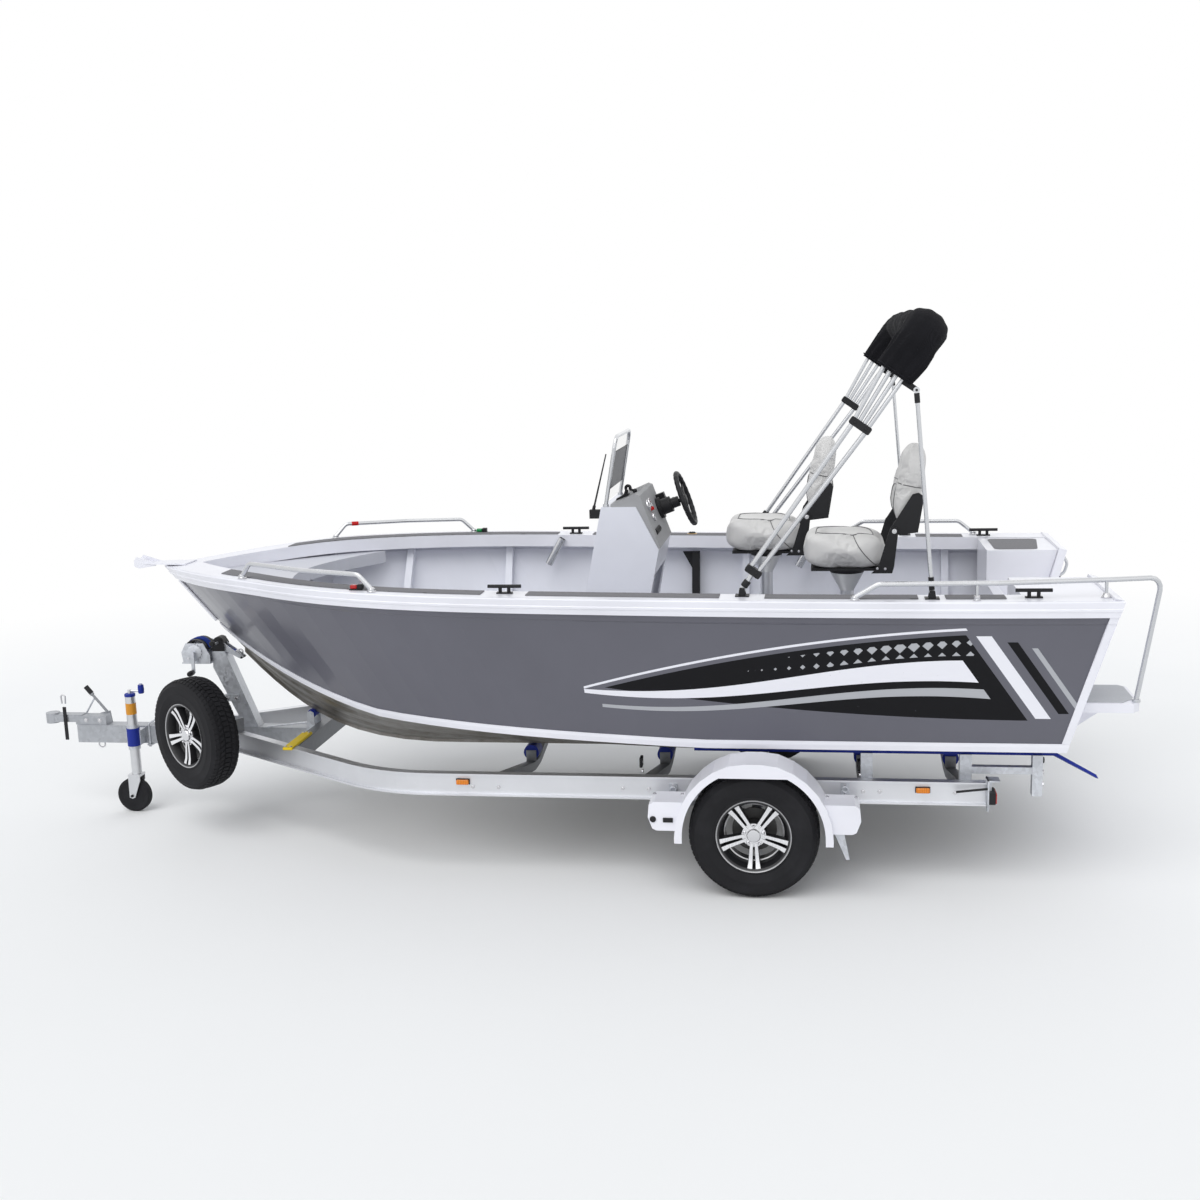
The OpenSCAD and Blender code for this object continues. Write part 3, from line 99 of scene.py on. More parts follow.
class Finish:
    """A material being made: a Principled shader and the nodes that feed it."""

    def __init__(self, name, colour=(0.8, 0.8, 0.8), **sockets):
        self.mat = bpy.data.materials.new(name)
        self.mat.use_nodes = True
        self.tree = self.mat.node_tree
        self.tree.nodes.clear()
        self.out = self.tree.nodes.new("ShaderNodeOutputMaterial")
        self.shader = self.tree.nodes.new("ShaderNodeBsdfPrincipled")
        self.tree.links.new(self.shader.outputs[0], self.out.inputs[0])
        self.feed("Base Color", (*colour, 1.0))
        for key, value in sockets.items():
            self.feed(key.replace("_", " "), value)
        self.coords = None

    def put(self, socket, value):
        if isinstance(value, Wire):
            self.tree.links.new(value.socket, socket)
        elif isinstance(value, bpy.types.NodeSocket):
            self.tree.links.new(value, socket)
        else:
            socket.default_value = value

    def feed(self, name, value):
        """Sets or links one socket of the main shader."""
        self.put(self.shader.inputs[name], value)

    def node(self, kind, settings=None, sockets=None):
        """Adds any node: its settings first, then its sockets' values or links."""
        node = self.tree.nodes.new(kind)
        for key, value in (settings or {}).items():
            if key == "stops":
                ramp = node.color_ramp
                while len(ramp.elements) < len(value):
                    ramp.elements.new(0.5)
                for element, (at, colour) in zip(ramp.elements, value):
                    element.position, element.color = at, colour
            else:
                setattr(node, key, value)
        for key, value in (sockets or {}).items():
            self.put(node.inputs[key], value)
        return node

    def wire(self, node, out=0):
        return Wire(self, node.outputs[out])

    def math(self, operation, *values):
        return self.wire(self.node("ShaderNodeMath", {"operation": operation}, dict(enumerate(values))))

    def place(self):
        """The point on the piece, in metres, as a vector."""
        if self.coords is None:
            self.coords = self.node("ShaderNodeTexCoord").outputs["Object"]
        return self.coords

    def xyz(self):
        parts = self.node("ShaderNodeSeparateXYZ", None, {0: self.place()})
        return tuple(Wire(self, parts.outputs[i]) for i in range(3))

    def normal_xyz(self):
        source = self.node("ShaderNodeTexCoord").outputs["Normal"]
        parts = self.node("ShaderNodeSeparateXYZ", None, {0: source})
        return tuple(Wire(self, parts.outputs[i]) for i in range(3))

    def stretched(self, scale):
        """The point on the piece, scaled unlike along its axes."""
        return self.node("ShaderNodeVectorMath", {"operation": "MULTIPLY"},
                         {0: self.place(), 1: scale}).outputs[0]

    def noise(self, scale, detail=3.0, rough=0.5, vector=None, warp=0.0):
        return self.wire(self.node("ShaderNodeTexNoise", None, {
            "Vector": vector or self.place(), "Scale": scale, "Detail": detail,
            "Roughness": rough, "Distortion": warp}))

    def cells(self, scale, feature="F1", out="Distance", vector=None):
        node = self.node("ShaderNodeTexVoronoi", {"feature": feature},
                         {"Vector": vector or self.place(), "Scale": scale})
        return Wire(self, node.outputs[out])

    def spangles(self):
        """Each crystal of the zinc, in a gray of its own."""
        return self.wire(self.node("ShaderNodeRGBToBW", None, {0: self.cells(55.0, "F1", "Color")}))

    def blend(self, factor, a, b):
        """Colour a where the factor is 0, colour b where it is 1."""
        node = self.node("ShaderNodeMix", {"data_type": "RGBA"}, {0: factor})
        for index, colour in ((6, a), (7, b)):
            self.put(node.inputs[index], (*colour, 1.0) if isinstance(colour, tuple) and len(colour) == 3
                     else colour)
        return Wire(self, node.outputs[2])

    def shades(self, factor, colour, low, high):
        """One colour, times low where the factor is 0 and times high where it is 1."""
        return self.blend(factor, tinted(colour, low), tinted(colour, high))

    def bump(self, height, depth, strength=1.0, below=None):
        """A bump of that depth in metres, over another bump where one is given."""
        node = self.node("ShaderNodeBump", None, {"Strength": strength, "Distance": depth, "Height": height})
        if below is not None:
            self.put(node.inputs["Normal"], below)
        self.feed("Normal", node.outputs[0])
        return node.outputs[0]


def tinted(colour, k):
    return tuple(max(0.0, min(1.0, c * k)) for c in colour[:3])


MADE = {}


def finish_of(name, maker, *args):
    """The named material, made once."""
    if name not in MADE:
        MADE[name] = maker(name, *args)
    return MADE[name]


def paint(name, colour, rough=0.32, peel=0.00012):
    """Sprayed paint: faint clouding and fine orange peel."""
    f = Finish(name, colour, Roughness=rough, Coat_Roughness=0.15)
    f.feed("Coat Weight", 0.25)
    cloud = f.noise(2.2, 4.0)
    fine = f.noise(55.0, 2.0)
    f.feed("Base Color", f.shades(cloud.ramp(0.3, 0.75), colour, 0.94, 1.05))
    f.feed("Roughness", rough - 0.05 + 0.12 * f.noise(9.0, 5.0))
    f.bump(fine, peel, 0.5)
    return f.mat


def sheet_metal(name, colour, rough=0.34):
    """Mill-finish aluminium with a rolled grain."""
    f = Finish(name, colour, Metallic=1.0, Roughness=rough)
    grain = f.noise(60.0, 3.0, vector=f.stretched((0.15, 1.0, 1.0)))
    wear = f.noise(3.5, 6.0)
    f.feed("Base Color", f.shades(wear, colour, 0.86, 1.08))
    f.feed("Roughness", rough - 0.08 + 0.16 * grain + 0.08 * wear)
    f.bump(grain, 0.0001, 0.35)
    return f.mat


def galvanised(name, colour, rough=0.42):
    """Hot-dip zinc: large pale spangles and dull runs."""
    f = Finish(name, colour, Metallic=0.75, Roughness=rough)
    tone = f.spangles()
    stain = f.noise(4.0, 6.0)
    f.feed("Base Color", f.shades((tone * 0.55 + stain * 0.5).ramp(0.2, 0.9), colour, 0.80, 1.12))
    f.feed("Roughness", rough - 0.07 + 0.2 * tone)
    f.bump(f.noise(40.0, 4.0), 0.0003, 0.4)
    return f.mat


def polished(name, colour, rough=0.16):
    """Polished tube with faint hand marks."""
    f = Finish(name, colour, Metallic=1.0, Roughness=rough)
    smear = f.noise(14.0, 5.0)
    f.feed("Roughness", rough - 0.06 + 0.16 * smear)
    f.feed("Base Color", f.shades(smear, colour, 0.95, 1.04))
    f.bump(f.noise(160.0, 2.0), 0.00002, 0.12)
    return f.mat


def plastic(name, colour, rough=0.45):
    """Moulded plastic with a fine leathery grain."""
    f = Finish(name, colour, Roughness=rough, Specular_IOR_Level=0.25)
    grain = f.cells(520.0)
    f.feed("Roughness", rough - 0.06 + 0.14 * f.noise(12.0, 4.0))
    f.feed("Base Color", f.shades(f.noise(5.0, 3.0), colour, 0.88, 1.15))
    f.bump(grain, 0.00015, 0.5)
    return f.mat


def rubber(name, colour, rough=0.72):
    """Rubber with dust worked into it."""
    f = Finish(name, colour, Roughness=rough, Specular_IOR_Level=0.25)
    dust = f.noise(7.0, 6.0)
    f.feed("Base Color", f.blend(dust.ramp(0.45, 0.8), colour,
                                 tuple(min(1, c * 1.4 + 0.006) for c in colour)))
    f.feed("Roughness", rough - 0.08 + 0.18 * dust)
    f.bump(f.noise(260.0, 3.0), 0.0001, 0.5)
    return f.mat


def vinyl(name, colour):
    """Marine vinyl: soft pebbled grain and a low sheen."""
    f = Finish(name, colour, Roughness=0.42)
    f.feed("Coat Weight", 0.12)
    f.feed("Coat Roughness", 0.35)
    pebble = f.cells(420.0, "SMOOTH_F1")
    crease = f.noise(26.0, 4.0, 0.55)
    f.feed("Base Color", f.shades(f.noise(6.0, 4.0).ramp(0.3, 0.8), colour, 0.92, 1.05))
    f.feed("Roughness", 0.36 + 0.14 * crease)
    soft = f.bump(crease, 0.0012, 0.35)
    f.bump(pebble, 0.00015, 0.25, soft)
    return f.mat


def canvas(name, colour):
    """Woven marine canvas, thread over thread."""
    f = Finish(name, colour, Roughness=0.9, Specular_IOR_Level=0.15)
    x, y, z = f.xyz()
    threads = 1400.0
    warp = (x * threads + z * threads * 0.6).math("SINE")
    weft = (y * threads + z * threads * 0.8).math("SINE")
    weave = warp * weft
    f.feed("Base Color", f.blend((weave * 0.5 + f.noise(9.0, 4.0)).ramp(0.0, 1.0), tinted(colour, 0.6),
                                 tuple(c * 1.5 + 0.003 for c in colour)))
    soft = f.bump(f.noise(18.0, 4.0), 0.004, 0.4)
    f.bump(weave, 0.0002, 0.5, soft)
    return f.mat


def pad_foam(name, colour):
    """Non-slip deck foam, brushed, with narrow grooves along the boat, darkened in the grooves as painted shade."""
    f = Finish(name, colour, Roughness=0.86)
    shaded_groove = (abs(f.xyz()[1]) * 42.0).math("FRACT").between(0.46, 0.54)
    fuzz = f.noise(420.0, 3.0)
    # the grooves' colour at 0.45 of the foam is painted shade
    f.feed("Base Color", f.blend(shaded_groove, f.shades(fuzz, colour, 0.8, 1.2), tinted(colour, 0.45)))
    soft = f.bump(shaded_groove * -1.0, 0.0016, 0.7)
    f.bump(fuzz, 0.0004, 0.6, soft)
    return f.mat


def clear_pane(name, colour):
    """Clear acrylic with a dark tinted band across its middle."""
    f = Finish(name, colour, Roughness=0.2, IOR=1.08)
    z = f.xyz()[2]
    f.feed("Alpha", 0.05 + 0.89 * z.between(1.95, 2.155))
    f.feed("Base Color", f.blend(z > 2.146, f.blend(f.noise(3.0, 3.0), colour, tinted(colour, 1.4)),
                                 tinted(colour, 0.3)))
    f.feed("Roughness", 0.18 + 0.08 * f.noise(4.0, 4.0))
    return f.mat


# ---- shapes ----

def piece(name, mesh_or_bm, body, material, replaces=(), smooth=40.0, bevel=0.0,
          segments=2, subsurf=0, matrix=None):
    """Makes a named object that rides on a body, with its finish and smoothing."""
    if isinstance(mesh_or_bm, bmesh.types.BMesh):
        mesh = bpy.data.meshes.new(name)
        bmesh.ops.recalc_face_normals(mesh_or_bm, faces=mesh_or_bm.faces)
        mesh_or_bm.to_mesh(mesh)
        mesh_or_bm.free()
    else:
        mesh = mesh_or_bm
    obj = bpy.data.objects.new(name, mesh)
    bpy.context.scene.collection.objects.link(obj)
    mesh.materials.append(material)
    if matrix is not None:
        obj.matrix_world = matrix
    if bevel:
        mod = obj.modifiers.new("edges", "BEVEL")
        mod.width, mod.segments = bevel, segments
        mod.limit_method, mod.angle_limit = "ANGLE", math.radians(35)
    if subsurf:
        mod = obj.modifiers.new("soft", "SUBSURF")
        mod.levels = mod.render_levels = subsurf
    if smooth:
        mesh.shade_smooth()
        mesh.set_sharp_from_angle(angle=math.radians(smooth))
    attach(obj, body)
    if replaces:
        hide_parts(*replaces)
    return obj


def add_box(bm, lo, hi, matrix=None):
    verts = [bm.verts.new((x, y, z)) for x in (lo[0], hi[0]) for y in (lo[1], hi[1]) for z in (lo[2], hi[2])]
    for a, b, c, d in ((0, 1, 3, 2), (4, 6, 7, 5), (0, 4, 5, 1), (2, 3, 7, 6), (0, 2, 6, 4), (1, 5, 7, 3)):
        bm.faces.new((verts[a], verts[b], verts[c], verts[d]))
    if matrix is not None:
        bmesh.ops.transform(bm, matrix=matrix, verts=verts)
    return verts


def skin(bm, rows, caps=True, loop=False):
    """Joins closed rows of corners, one after another, and caps the ends or loops to the first."""
    n = len(rows[0])
    for a, b in zip(rows, rows[1:] + (rows[:1] if loop else [])):
        for i in range(n):
            j = (i + 1) % n
            bm.faces.new((a[i], a[j], b[j], b[i]))
    if caps and not loop:
        bm.faces.new(rows[0][::-1])
        bm.faces.new(rows[-1])


def add_lathe(bm, profile, matrix=None, steps=48, closed=False):
    """Turns a profile of (radius, height) round the Z axis; a closed one makes a ring."""
    rings = []
    for k in range(steps):
        a = 2 * math.pi * k / steps
        rings.append([bm.verts.new((r * math.cos(a), r * math.sin(a), h)) for r, h in profile])
    n = len(profile)
    for k in range(steps):
        p, q = rings[k], rings[(k + 1) % steps]
        for i in range(n if closed else n - 1):
            j = (i + 1) % n
            bm.faces.new((p[i], q[i], q[j], p[j]))
    verts = [v for ring in rings for v in ring]
    if not closed:
        bm.faces.new([r[0] for r in reversed(rings)])
        bm.faces.new([r[-1] for r in rings])
    if matrix is not None:
        bmesh.ops.transform(bm, matrix=matrix, verts=verts)
    return verts


def add_rod(bm, a, b, r, steps=16):
    """A round bar from a to b."""
    d = Vector(b) - Vector(a)
    return add_lathe(bm, [(r, 0.0), (r, d.length)], turned(a, d), steps)


def smooth_path(points, bend, steps=6):
    """Rounds the corners of a path to one radius."""
    pts = [Vector(p) for p in points]
    out = [pts[0]]
    for i in range(1, len(pts) - 1):
        u, v = (pts[i] - pts[i - 1]).normalized(), (pts[i + 1] - pts[i]).normalized()
        turn = u.angle(v)
        if turn < 0.02:
            out.append(pts[i])
            continue
        n = (v - u * u.dot(v)).normalized()
        cut = min(bend * math.tan(turn / 2), (pts[i] - pts[i - 1]).length * 0.49,
                  (pts[i + 1] - pts[i]).length * 0.49)
        r = cut / math.tan(turn / 2)
        c = pts[i] - u * cut + n * r
        for k in range(steps + 1):
            a = turn * k / steps
            out.append(c - n * r * math.cos(a) + u * r * math.sin(a))
    out.append(pts[-1])
    return out


def add_tube(bm, points, r, sides=12, caps=True):
    """A tube along a path, carried without twist."""
    pts = [Vector(p) for p in points]
    n = len(pts)
    side, rings = None, []
    for i in range(n):
        t = (pts[min(n - 1, i + 1)] - pts[max(0, i - 1)]).normalized()
        ref = side if side is not None else (Vector((0, 0, 1)) if abs(t.z) < 0.9
                                             else Vector((1, 0, 0))).cross(t)
        side = (ref - t * ref.dot(t)).normalized()
        up = t.cross(side)
        rr = r[i] if isinstance(r, (list, tuple)) else r
        turns = [2 * math.pi * k / sides for k in range(sides)]
        rings.append([bm.verts.new(pts[i] + side * math.cos(a) * rr + up * math.sin(a) * rr) for a in turns])
    skin(bm, rings, caps)


def add_hex(bm, at, axis, r, h):
    """A bolt's head with its washer, standing on a face."""
    m = turned(at, axis)
    add_lathe(bm, [(r * 1.35, 0.0), (r * 1.35, h * 0.22)], m, 18)
    add_lathe(bm, [(r, h * 0.22), (r, h * 0.9), (r * 0.86, h)], m, 6)


def add_prism(bm, outline, lo, hi, axis="y"):
    """Carries a closed outline along an axis; the outline's pairs are the other two, in order."""
    def at(p, t):
        return {"x": (t, p[0], p[1]), "y": (p[0], t, p[1]), "z": (p[0], p[1], t)}[axis]
    add_loft(bm, [[at(p, t) for p in outline] for t in (lo, hi)])


def add_loft(bm, rows):
    """Joins closed rows of points, one after another, and caps both ends."""
    skin(bm, [[bm.verts.new(p) for p in row] for row in rows])


def add_strap(bm, path, wide, thick):
    """A flat band that lies across the boat and follows a path."""
    pts = [Vector(p) for p in path]
    rows = []
    for i, p in enumerate(pts):
        t = (pts[min(len(pts) - 1, i + 1)] - pts[max(0, i - 1)]).normalized()
        up = Vector((-t.z, 0.0, t.x)) * thick / 2
        side = Vector((0.0, wide / 2, 0.0))
        rows.append([p - side - up, p + side - up, p + side + up, p - side + up])
    add_loft(bm, rows)


def block(bm, lo, hi):
    """A box between two corners given in millimetres from the axle."""
    a, b = spot(*lo), spot(*hi)
    add_box(bm, [min(p, q) for p, q in zip(a, b)], [max(p, q) for p, q in zip(a, b)])


def turned(p, axis):
    """Axes at a point, with Z along a direction."""
    return Matrix.Translation(Vector(p)) @ Vector(axis).to_track_quat("Z", "Y").to_matrix().to_4x4()


def seen(*pairs):
    """An outline seen from the side, from points in millimetres from the axle."""
    return [spot(x, 0, z).xz for x, z in pairs]


def stood(x, y, z):
    """Upright axes at a point given in millimetres from the axle."""
    return Matrix.Translation(spot(x, y, z))


def arc(centre, r, start, stop, step=15):
    """Points of an upright arc seen from the side, by degrees from forward."""
    return [centre + Vector((r * math.cos(math.radians(a)), 0.0, r * math.sin(math.radians(a))))
            for a in range(start, stop + 1, step)]


def dress(node, material):
    """Gives a CAD node a finish of its own."""
    obj = frame["nodes"][node]
    if len(obj.material_slots) == 0:
        obj.data.materials.append(material)
    for s in obj.material_slots:
        s.material = material
    return obj


# ---- where things are ----

JOINTS = {j["name"]: Vector(j["pos_m"]) for j in frame["record"]["behaviour"]["joints"]}
AXLE_X = JOINTS["wheel_port_spin"].x
TRAILER = "boat_and_trailer"
ACROSS = (0, 1, 0)
GUNWALE_AFT, GUNWALE_LONG = -1730, 5275     # the gunwale's edge, in millimetres from the axle
CHINE_AFT, CHINE_LONG = -1509.9, 4709.9
TYRE_R, TYRE_HALF, BEAD_R, RIM_R = 0.325, 0.0925, 0.178, 0.1776
JOCKEY_X, JOCKEY_Y = 3800, 125     # the jockey's leg, in millimetres from the axle
LEG_Y = 1.055     # the canopy's legs, out from the middle
SEAT_PIVOT = Vector((-0.235, 0.0, 0.205))     # the back's hinge, from the seat's post
ON_SIDE = Matrix.Rotation(math.radians(90), 4, "X")


def spot(x, y=0.0, z=0.0):
    """A point in millimetres forward of the road axle, to port and up."""
    return Vector((AXLE_X + x / 1000.0, y / 1000.0, z / 1000.0))


def gunwale_y(x):
    t = max(0.0, (x - 1000) / 2545)
    a = max(0.0, (500 - x) / 2230)
    return (1185 - 60 * a * a) * (1 - t ** 3)


def gunwale_z(x):
    s = (x - GUNWALE_AFT) / GUNWALE_LONG
    return 1490 + 85 * max(0.0, s) ** 1.6 - 70 * max(0.0, (s - 0.83) / 0.17) ** 1.5


def chine_y(x):
    return 1000 * (1 - max(0.0, (x - 600) / 2600) ** 2.6)


def chine_z(x):
    t = max(0.0, (x - 300) / 2900)
    return 715 + 150 * t + 245 * max(0.0, (t - 0.58) / 0.42) ** 1.3


def side_point(w, share, out=0.0):
    """A point of the side sheet: w from transom 0 to bow 1, share from chine 0 to gunwale 1."""
    def raw(q):
        gx = GUNWALE_AFT + GUNWALE_LONG * q
        cx = CHINE_AFT + CHINE_LONG * q
        c, g = (cx, chine_y(cx), chine_z(cx)), (gx, gunwale_y(gx), gunwale_z(gx))
        return [p + (k - p) * share for p, k in zip(c, g)]
    p = raw(w)
    a, b = raw(max(0.0, w - 0.002)), raw(min(1.0, w + 0.002))
    d = math.hypot(b[0] - a[0], b[1] - a[1])
    return spot(p[0] - (b[1] - a[1]) / d * out, p[1] + (b[0] - a[0]) / d * out, p[2])


def deck_point(x, inset, up=0.0):
    """A point on the side deck, inset from the gunwale's edge, all in millimetres."""
    bow = 3545 - inset / math.sin(math.radians(52))
    t = max(0.0, (x - 1000) / (bow - 1000))
    a = max(0.0, (500 - x) / 2230)
    return spot(x, (1185 - inset - 60 * a * a) * (1 - t ** 3), gunwale_z(x) + up)


def mirrored(p):
    return Vector((p[0], -p[1], p[2]))


def palette():
    return bpy.context.scene.boat_colours


def sizes():
    return bpy.context.scene.boat_sizes


def rgb(name):
    return tuple(getattr(palette(), name))


# ---- finishes of this boat ----

def white_coat():
    return finish_of("White powder coat", paint, rgb("white"), 0.36)


def gray_coat():
    return finish_of("Light gray cockpit paint", paint, rgb("cockpit_gray"), 0.45)


def zinc():
    return finish_of("Hot-dip zinc", galvanised, rgb("zinc"))


def dull_zinc():
    return finish_of("Weathered zinc", galvanised, tinted(rgb("zinc"), 0.5), 0.5)


def post_zinc(name, shaded_zinc, bright):
    """Zinc beams darkened as painted shade where they lie under the hull, with brighter posts at both sides as painted
    light on the same zinc.
    """
    f = Finish(name, shaded_zinc, Metallic=0.75, Roughness=0.48)
    tone = f.spangles()
    spangle = (tone * 0.55 + f.noise(4.0, 6.0) * 0.5).ramp(0.2, 0.9)
    # beyond 0.785 m out the posts take the lit tone; nearer the middle the beams take the painted-shade tone
    far = abs(f.xyz()[1]) > 0.785
    f.feed("Base Color", f.blend(far, f.shades(spangle, shaded_zinc, 0.8, 1.15),
                                 f.shades(spangle, bright, 0.8, 1.1)))
    f.feed("Roughness", 0.42 + 0.16 * tone)
    f.bump(f.noise(40.0, 4.0), 0.0003, 0.4)
    return f.mat


def stainless():
    return finish_of("Stainless bolts", polished, (0.62, 0.62, 0.64), 0.22)


def alloy():
    return finish_of("Mill alloy", sheet_metal, rgb("alloy"))


def bright_tube():
    return finish_of("Bright alloy tube", polished, rgb("tube"), 0.24)


def black_plastic():
    return finish_of("Black moulded plastic", plastic, rgb("black"))


def black_rubber():
    return finish_of("Tyre rubber", rubber, rgb("rubber"))


def blue_rubber():
    return finish_of("Blue roller rubber", plastic, rgb("blue"), 0.5)


def red_plastic():
    return finish_of("Red plastic", plastic, (0.55, 0.01, 0.01), 0.35)


def machined():
    return finish_of("Machined wheel", spoke_face, (0.84, 0.84, 0.86), (0.010, 0.010, 0.012))


def bottom_plate():
    return finish_of("Stained bottom plate", mottled_alloy)


def deck_foam():
    return finish_of("Brushed deck foam", pad_foam, rgb("pad_gray"))


def seat_vinyl():
    return finish_of("Light marine vinyl", vinyl, rgb("vinyl"))


def boot_canvas():
    return finish_of("Black marine canvas", canvas, rgb("canvas"))


def hull_graphic(name):
    """The hull's gray paint with a sweep of black, white and gray bands over it."""
    gray, white, black, soft = rgb("hull_gray"), rgb("white"), rgb("black"), rgb("graphic_gray")
    f = Finish(name, gray, Roughness=0.32, Coat_Roughness=0.12)
    x, _, z = f.xyz()
    u = (x - (AXLE_X - 1.40)) / 2.25
    v = (z - 0.83) / 0.52
    cloud = f.noise(2.2, 4.0)
    tone = f.shades(cloud.ramp(0.3, 0.75), gray, 0.94, 1.05)

    # a black blade that narrows forward, cut at a slant aft
    belly = v - (0.10 + 0.34 * u * u)
    crown = (0.97 - 0.62 * u * u) - v
    tail = u - 0.02 - 0.16 * v
    blade = (belly > 0.0) * (crown > 0.0) * (tail > 0.0) * (u < 0.985)
    tone = f.blend(blade, tone, black)
    ink = blade

    # two ribbons that cross it in a slow wave
    wave = 0.50 - 0.06 * u + 0.11 * (u * 5.2 + 0.4).math("SINE")
    ribbon = abs(wave - v) < (0.125 - 0.105 * u)
    ribbon = ribbon * (tail > 0.045) * (u < 1.0)
    tone = f.blend(ribbon, tone, white)
    under = wave - 0.235 + 0.10 * u
    second = abs(under - v) < (0.05 - 0.035 * u)
    second = second * (tail > 0.045) * (u < 0.96)
    tone = f.blend(second, tone, soft)
    ink = ink * (1.0 - ribbon) * (1.0 - second)

    # bars that thin out aft of the blade's cut, and a pinstripe over its crown
    slant = u - 0.16 * v
    for k, (at, half, colour) in enumerate(((-0.035, 0.016, white), (-0.085, 0.011, black),
                                            (-0.122, 0.006, soft))):
        bar = abs(slant - (at + 0.02)) < half
        bar = bar * v.between(0.12 + 0.05 * k, 0.94 - 0.06 * k)
        tone = f.blend(bar, tone, colour)
        ink = ink.high(bar) if colour == black else ink
    pin = abs(crown + 0.055) < 0.012
    tone = f.blend(pin * (tail > -0.01) * (u < 1.0), tone, white)

    # diamonds that shrink forward inside the blade
    cu, cv = u * 34.0, (v + u * 0.35) * 8.0
    du = abs(cu % 1.0 - 0.5)
    dv = abs(cv % 1.0 - 0.5)
    size = (0.46 - abs(u - 0.30) * 1.25).high(0.0)
    above = (v - wave) > (0.17 - 0.10 * u)
    diamonds = ((du + dv) < size) * above * blade * (crown > 0.05)
    tone = f.blend(diamonds, tone, soft)
    ink = ink * (1.0 - diamonds)
    wear = f.noise(46.0, 6.0, 0.62)
    tone = f.blend((wear > 0.69) * blade * 0.3, tone, gray)
    f.feed("Base Color", tone)
    f.feed("Metallic", ink * 0.9)
    f.feed("Coat Weight", 0.35 - 0.35 * ink)
    f.feed("Roughness", 0.27 + 0.12 * f.noise(9.0, 5.0) + 0.1 * ink)
    f.bump(f.noise(55.0, 2.0), 0.00012, 0.5)
    return f.mat


def hull_paint(name, outer, inner):
    """Gray gloss outside, the light cockpit paint inside."""
    f = Finish(name, outer, Roughness=0.32, Coat_Roughness=0.12)
    inward = (f.xyz()[1] * f.normal_xyz()[1]) < 0.0
    f.feed("Coat Weight", 0.35 - 0.25 * inward)
    cloud = f.noise(2.2, 4.0).ramp(0.3, 0.75)
    side = f.shades(cloud, outer, 0.94, 1.05)
    f.feed("Base Color", f.blend(inward, side, f.shades(cloud, inner, 0.95, 1.03)))
    f.feed("Roughness", 0.27 + 0.12 * f.noise(9.0, 5.0) + 0.12 * inward)
    f.bump(f.noise(55.0, 2.0), 0.00012, 0.5)
    return f.mat


# both default colours are darkened as painted shade, below the metal's own tone
def mottled_alloy(name, colour=(0.33, 0.32, 0.31), stain=(0.12, 0.105, 0.075)):
    """Bare bottom plate with mottled water stains. Both colours are kept dark as painted shade for the shade under the
    hull, and the stain's brown also paints the brownish reflections seen in it.
    """
    f = Finish(name, colour, Metallic=1.0, Roughness=0.42)
    old = f.noise(2.6, 8.0, 0.62)
    spots = f.noise(17.0, 5.0)
    f.feed("Base Color", f.blend((old * 0.7 + spots * 0.4).ramp(0.38, 0.78), colour, stain))
    f.feed("Roughness", 0.3 + 0.34 * old)
    f.feed("Metallic", 1.0 - 0.5 * old.ramp(0.5, 0.8))
    f.bump(spots, 0.0004, 0.4)
    return f.mat


def checker_plate(name, colour):
    """Cockpit floor sheet with a raised five-bar tread."""
    f = Finish(name, colour, Metallic=0.9, Roughness=0.4)
    x, y, _ = f.xyz()
    a = abs((x + y) * 26.0 % 1.0 - 0.5)
    b = abs((x - y) * 26.0 % 1.0 - 0.5)
    turn = (((x * 13.0).math("FLOOR") + (y * 13.0).math("FLOOR")) % 2.0) > 0.5
    bar = (a < 0.12) * (b < 0.34) * turn + (b < 0.12) * (a < 0.34) * (1.0 - turn)
    f.feed("Base Color", f.shades(f.noise(5.0, 5.0), colour, 0.85, 1.1))
    f.feed("Roughness", 0.36 + 0.2 * f.noise(30.0, 4.0))
    f.bump(bar, 0.0012, 0.8)
    return f.mat


def shiny_lens(name, colour):
    """Moulded lamp lens with fine upright flutes, painted darker in their troughs and lighter on their crests as
    painted shade and highlight.
    """
    f = Finish(name, colour, Roughness=0.12, IOR=1.49)
    flute = (f.xyz()[0] * 700.0).math("SINE")
    # painted shade in the flutes' troughs and painted highlight on their crests
    f.feed("Base Color", f.shades(flute * 0.5 + 0.5, colour, 0.75, 1.15))
    f.feed("Roughness", 0.1 + 0.08 * f.noise(60.0, 2.0))
    f.bump(flute, 0.0003, 0.5)
    return f.mat


def spoke_face(name, colour, dark):
    """Wheel alloy: machined bright on its outer faces, black in the pockets."""
    f = Finish(name, colour, Metallic=0.9, Roughness=0.2)
    face = abs(f.normal_xyz()[2]).ramp(0.86, 0.95)
    turned = f.noise(180.0, 2.0, vector=f.stretched((1.0, 0.05, 1.0)))
    f.feed("Base Color", f.blend(face, dark, f.shades(turned, colour, 0.9, 1.1)))
    f.feed("Metallic", face * 0.92)
    f.feed("Roughness", 0.42 - 0.2 * face + 0.1 * turned)
    f.bump(turned, 0.00004, 0.4)
    return f.mat


# ---- the pieces ----

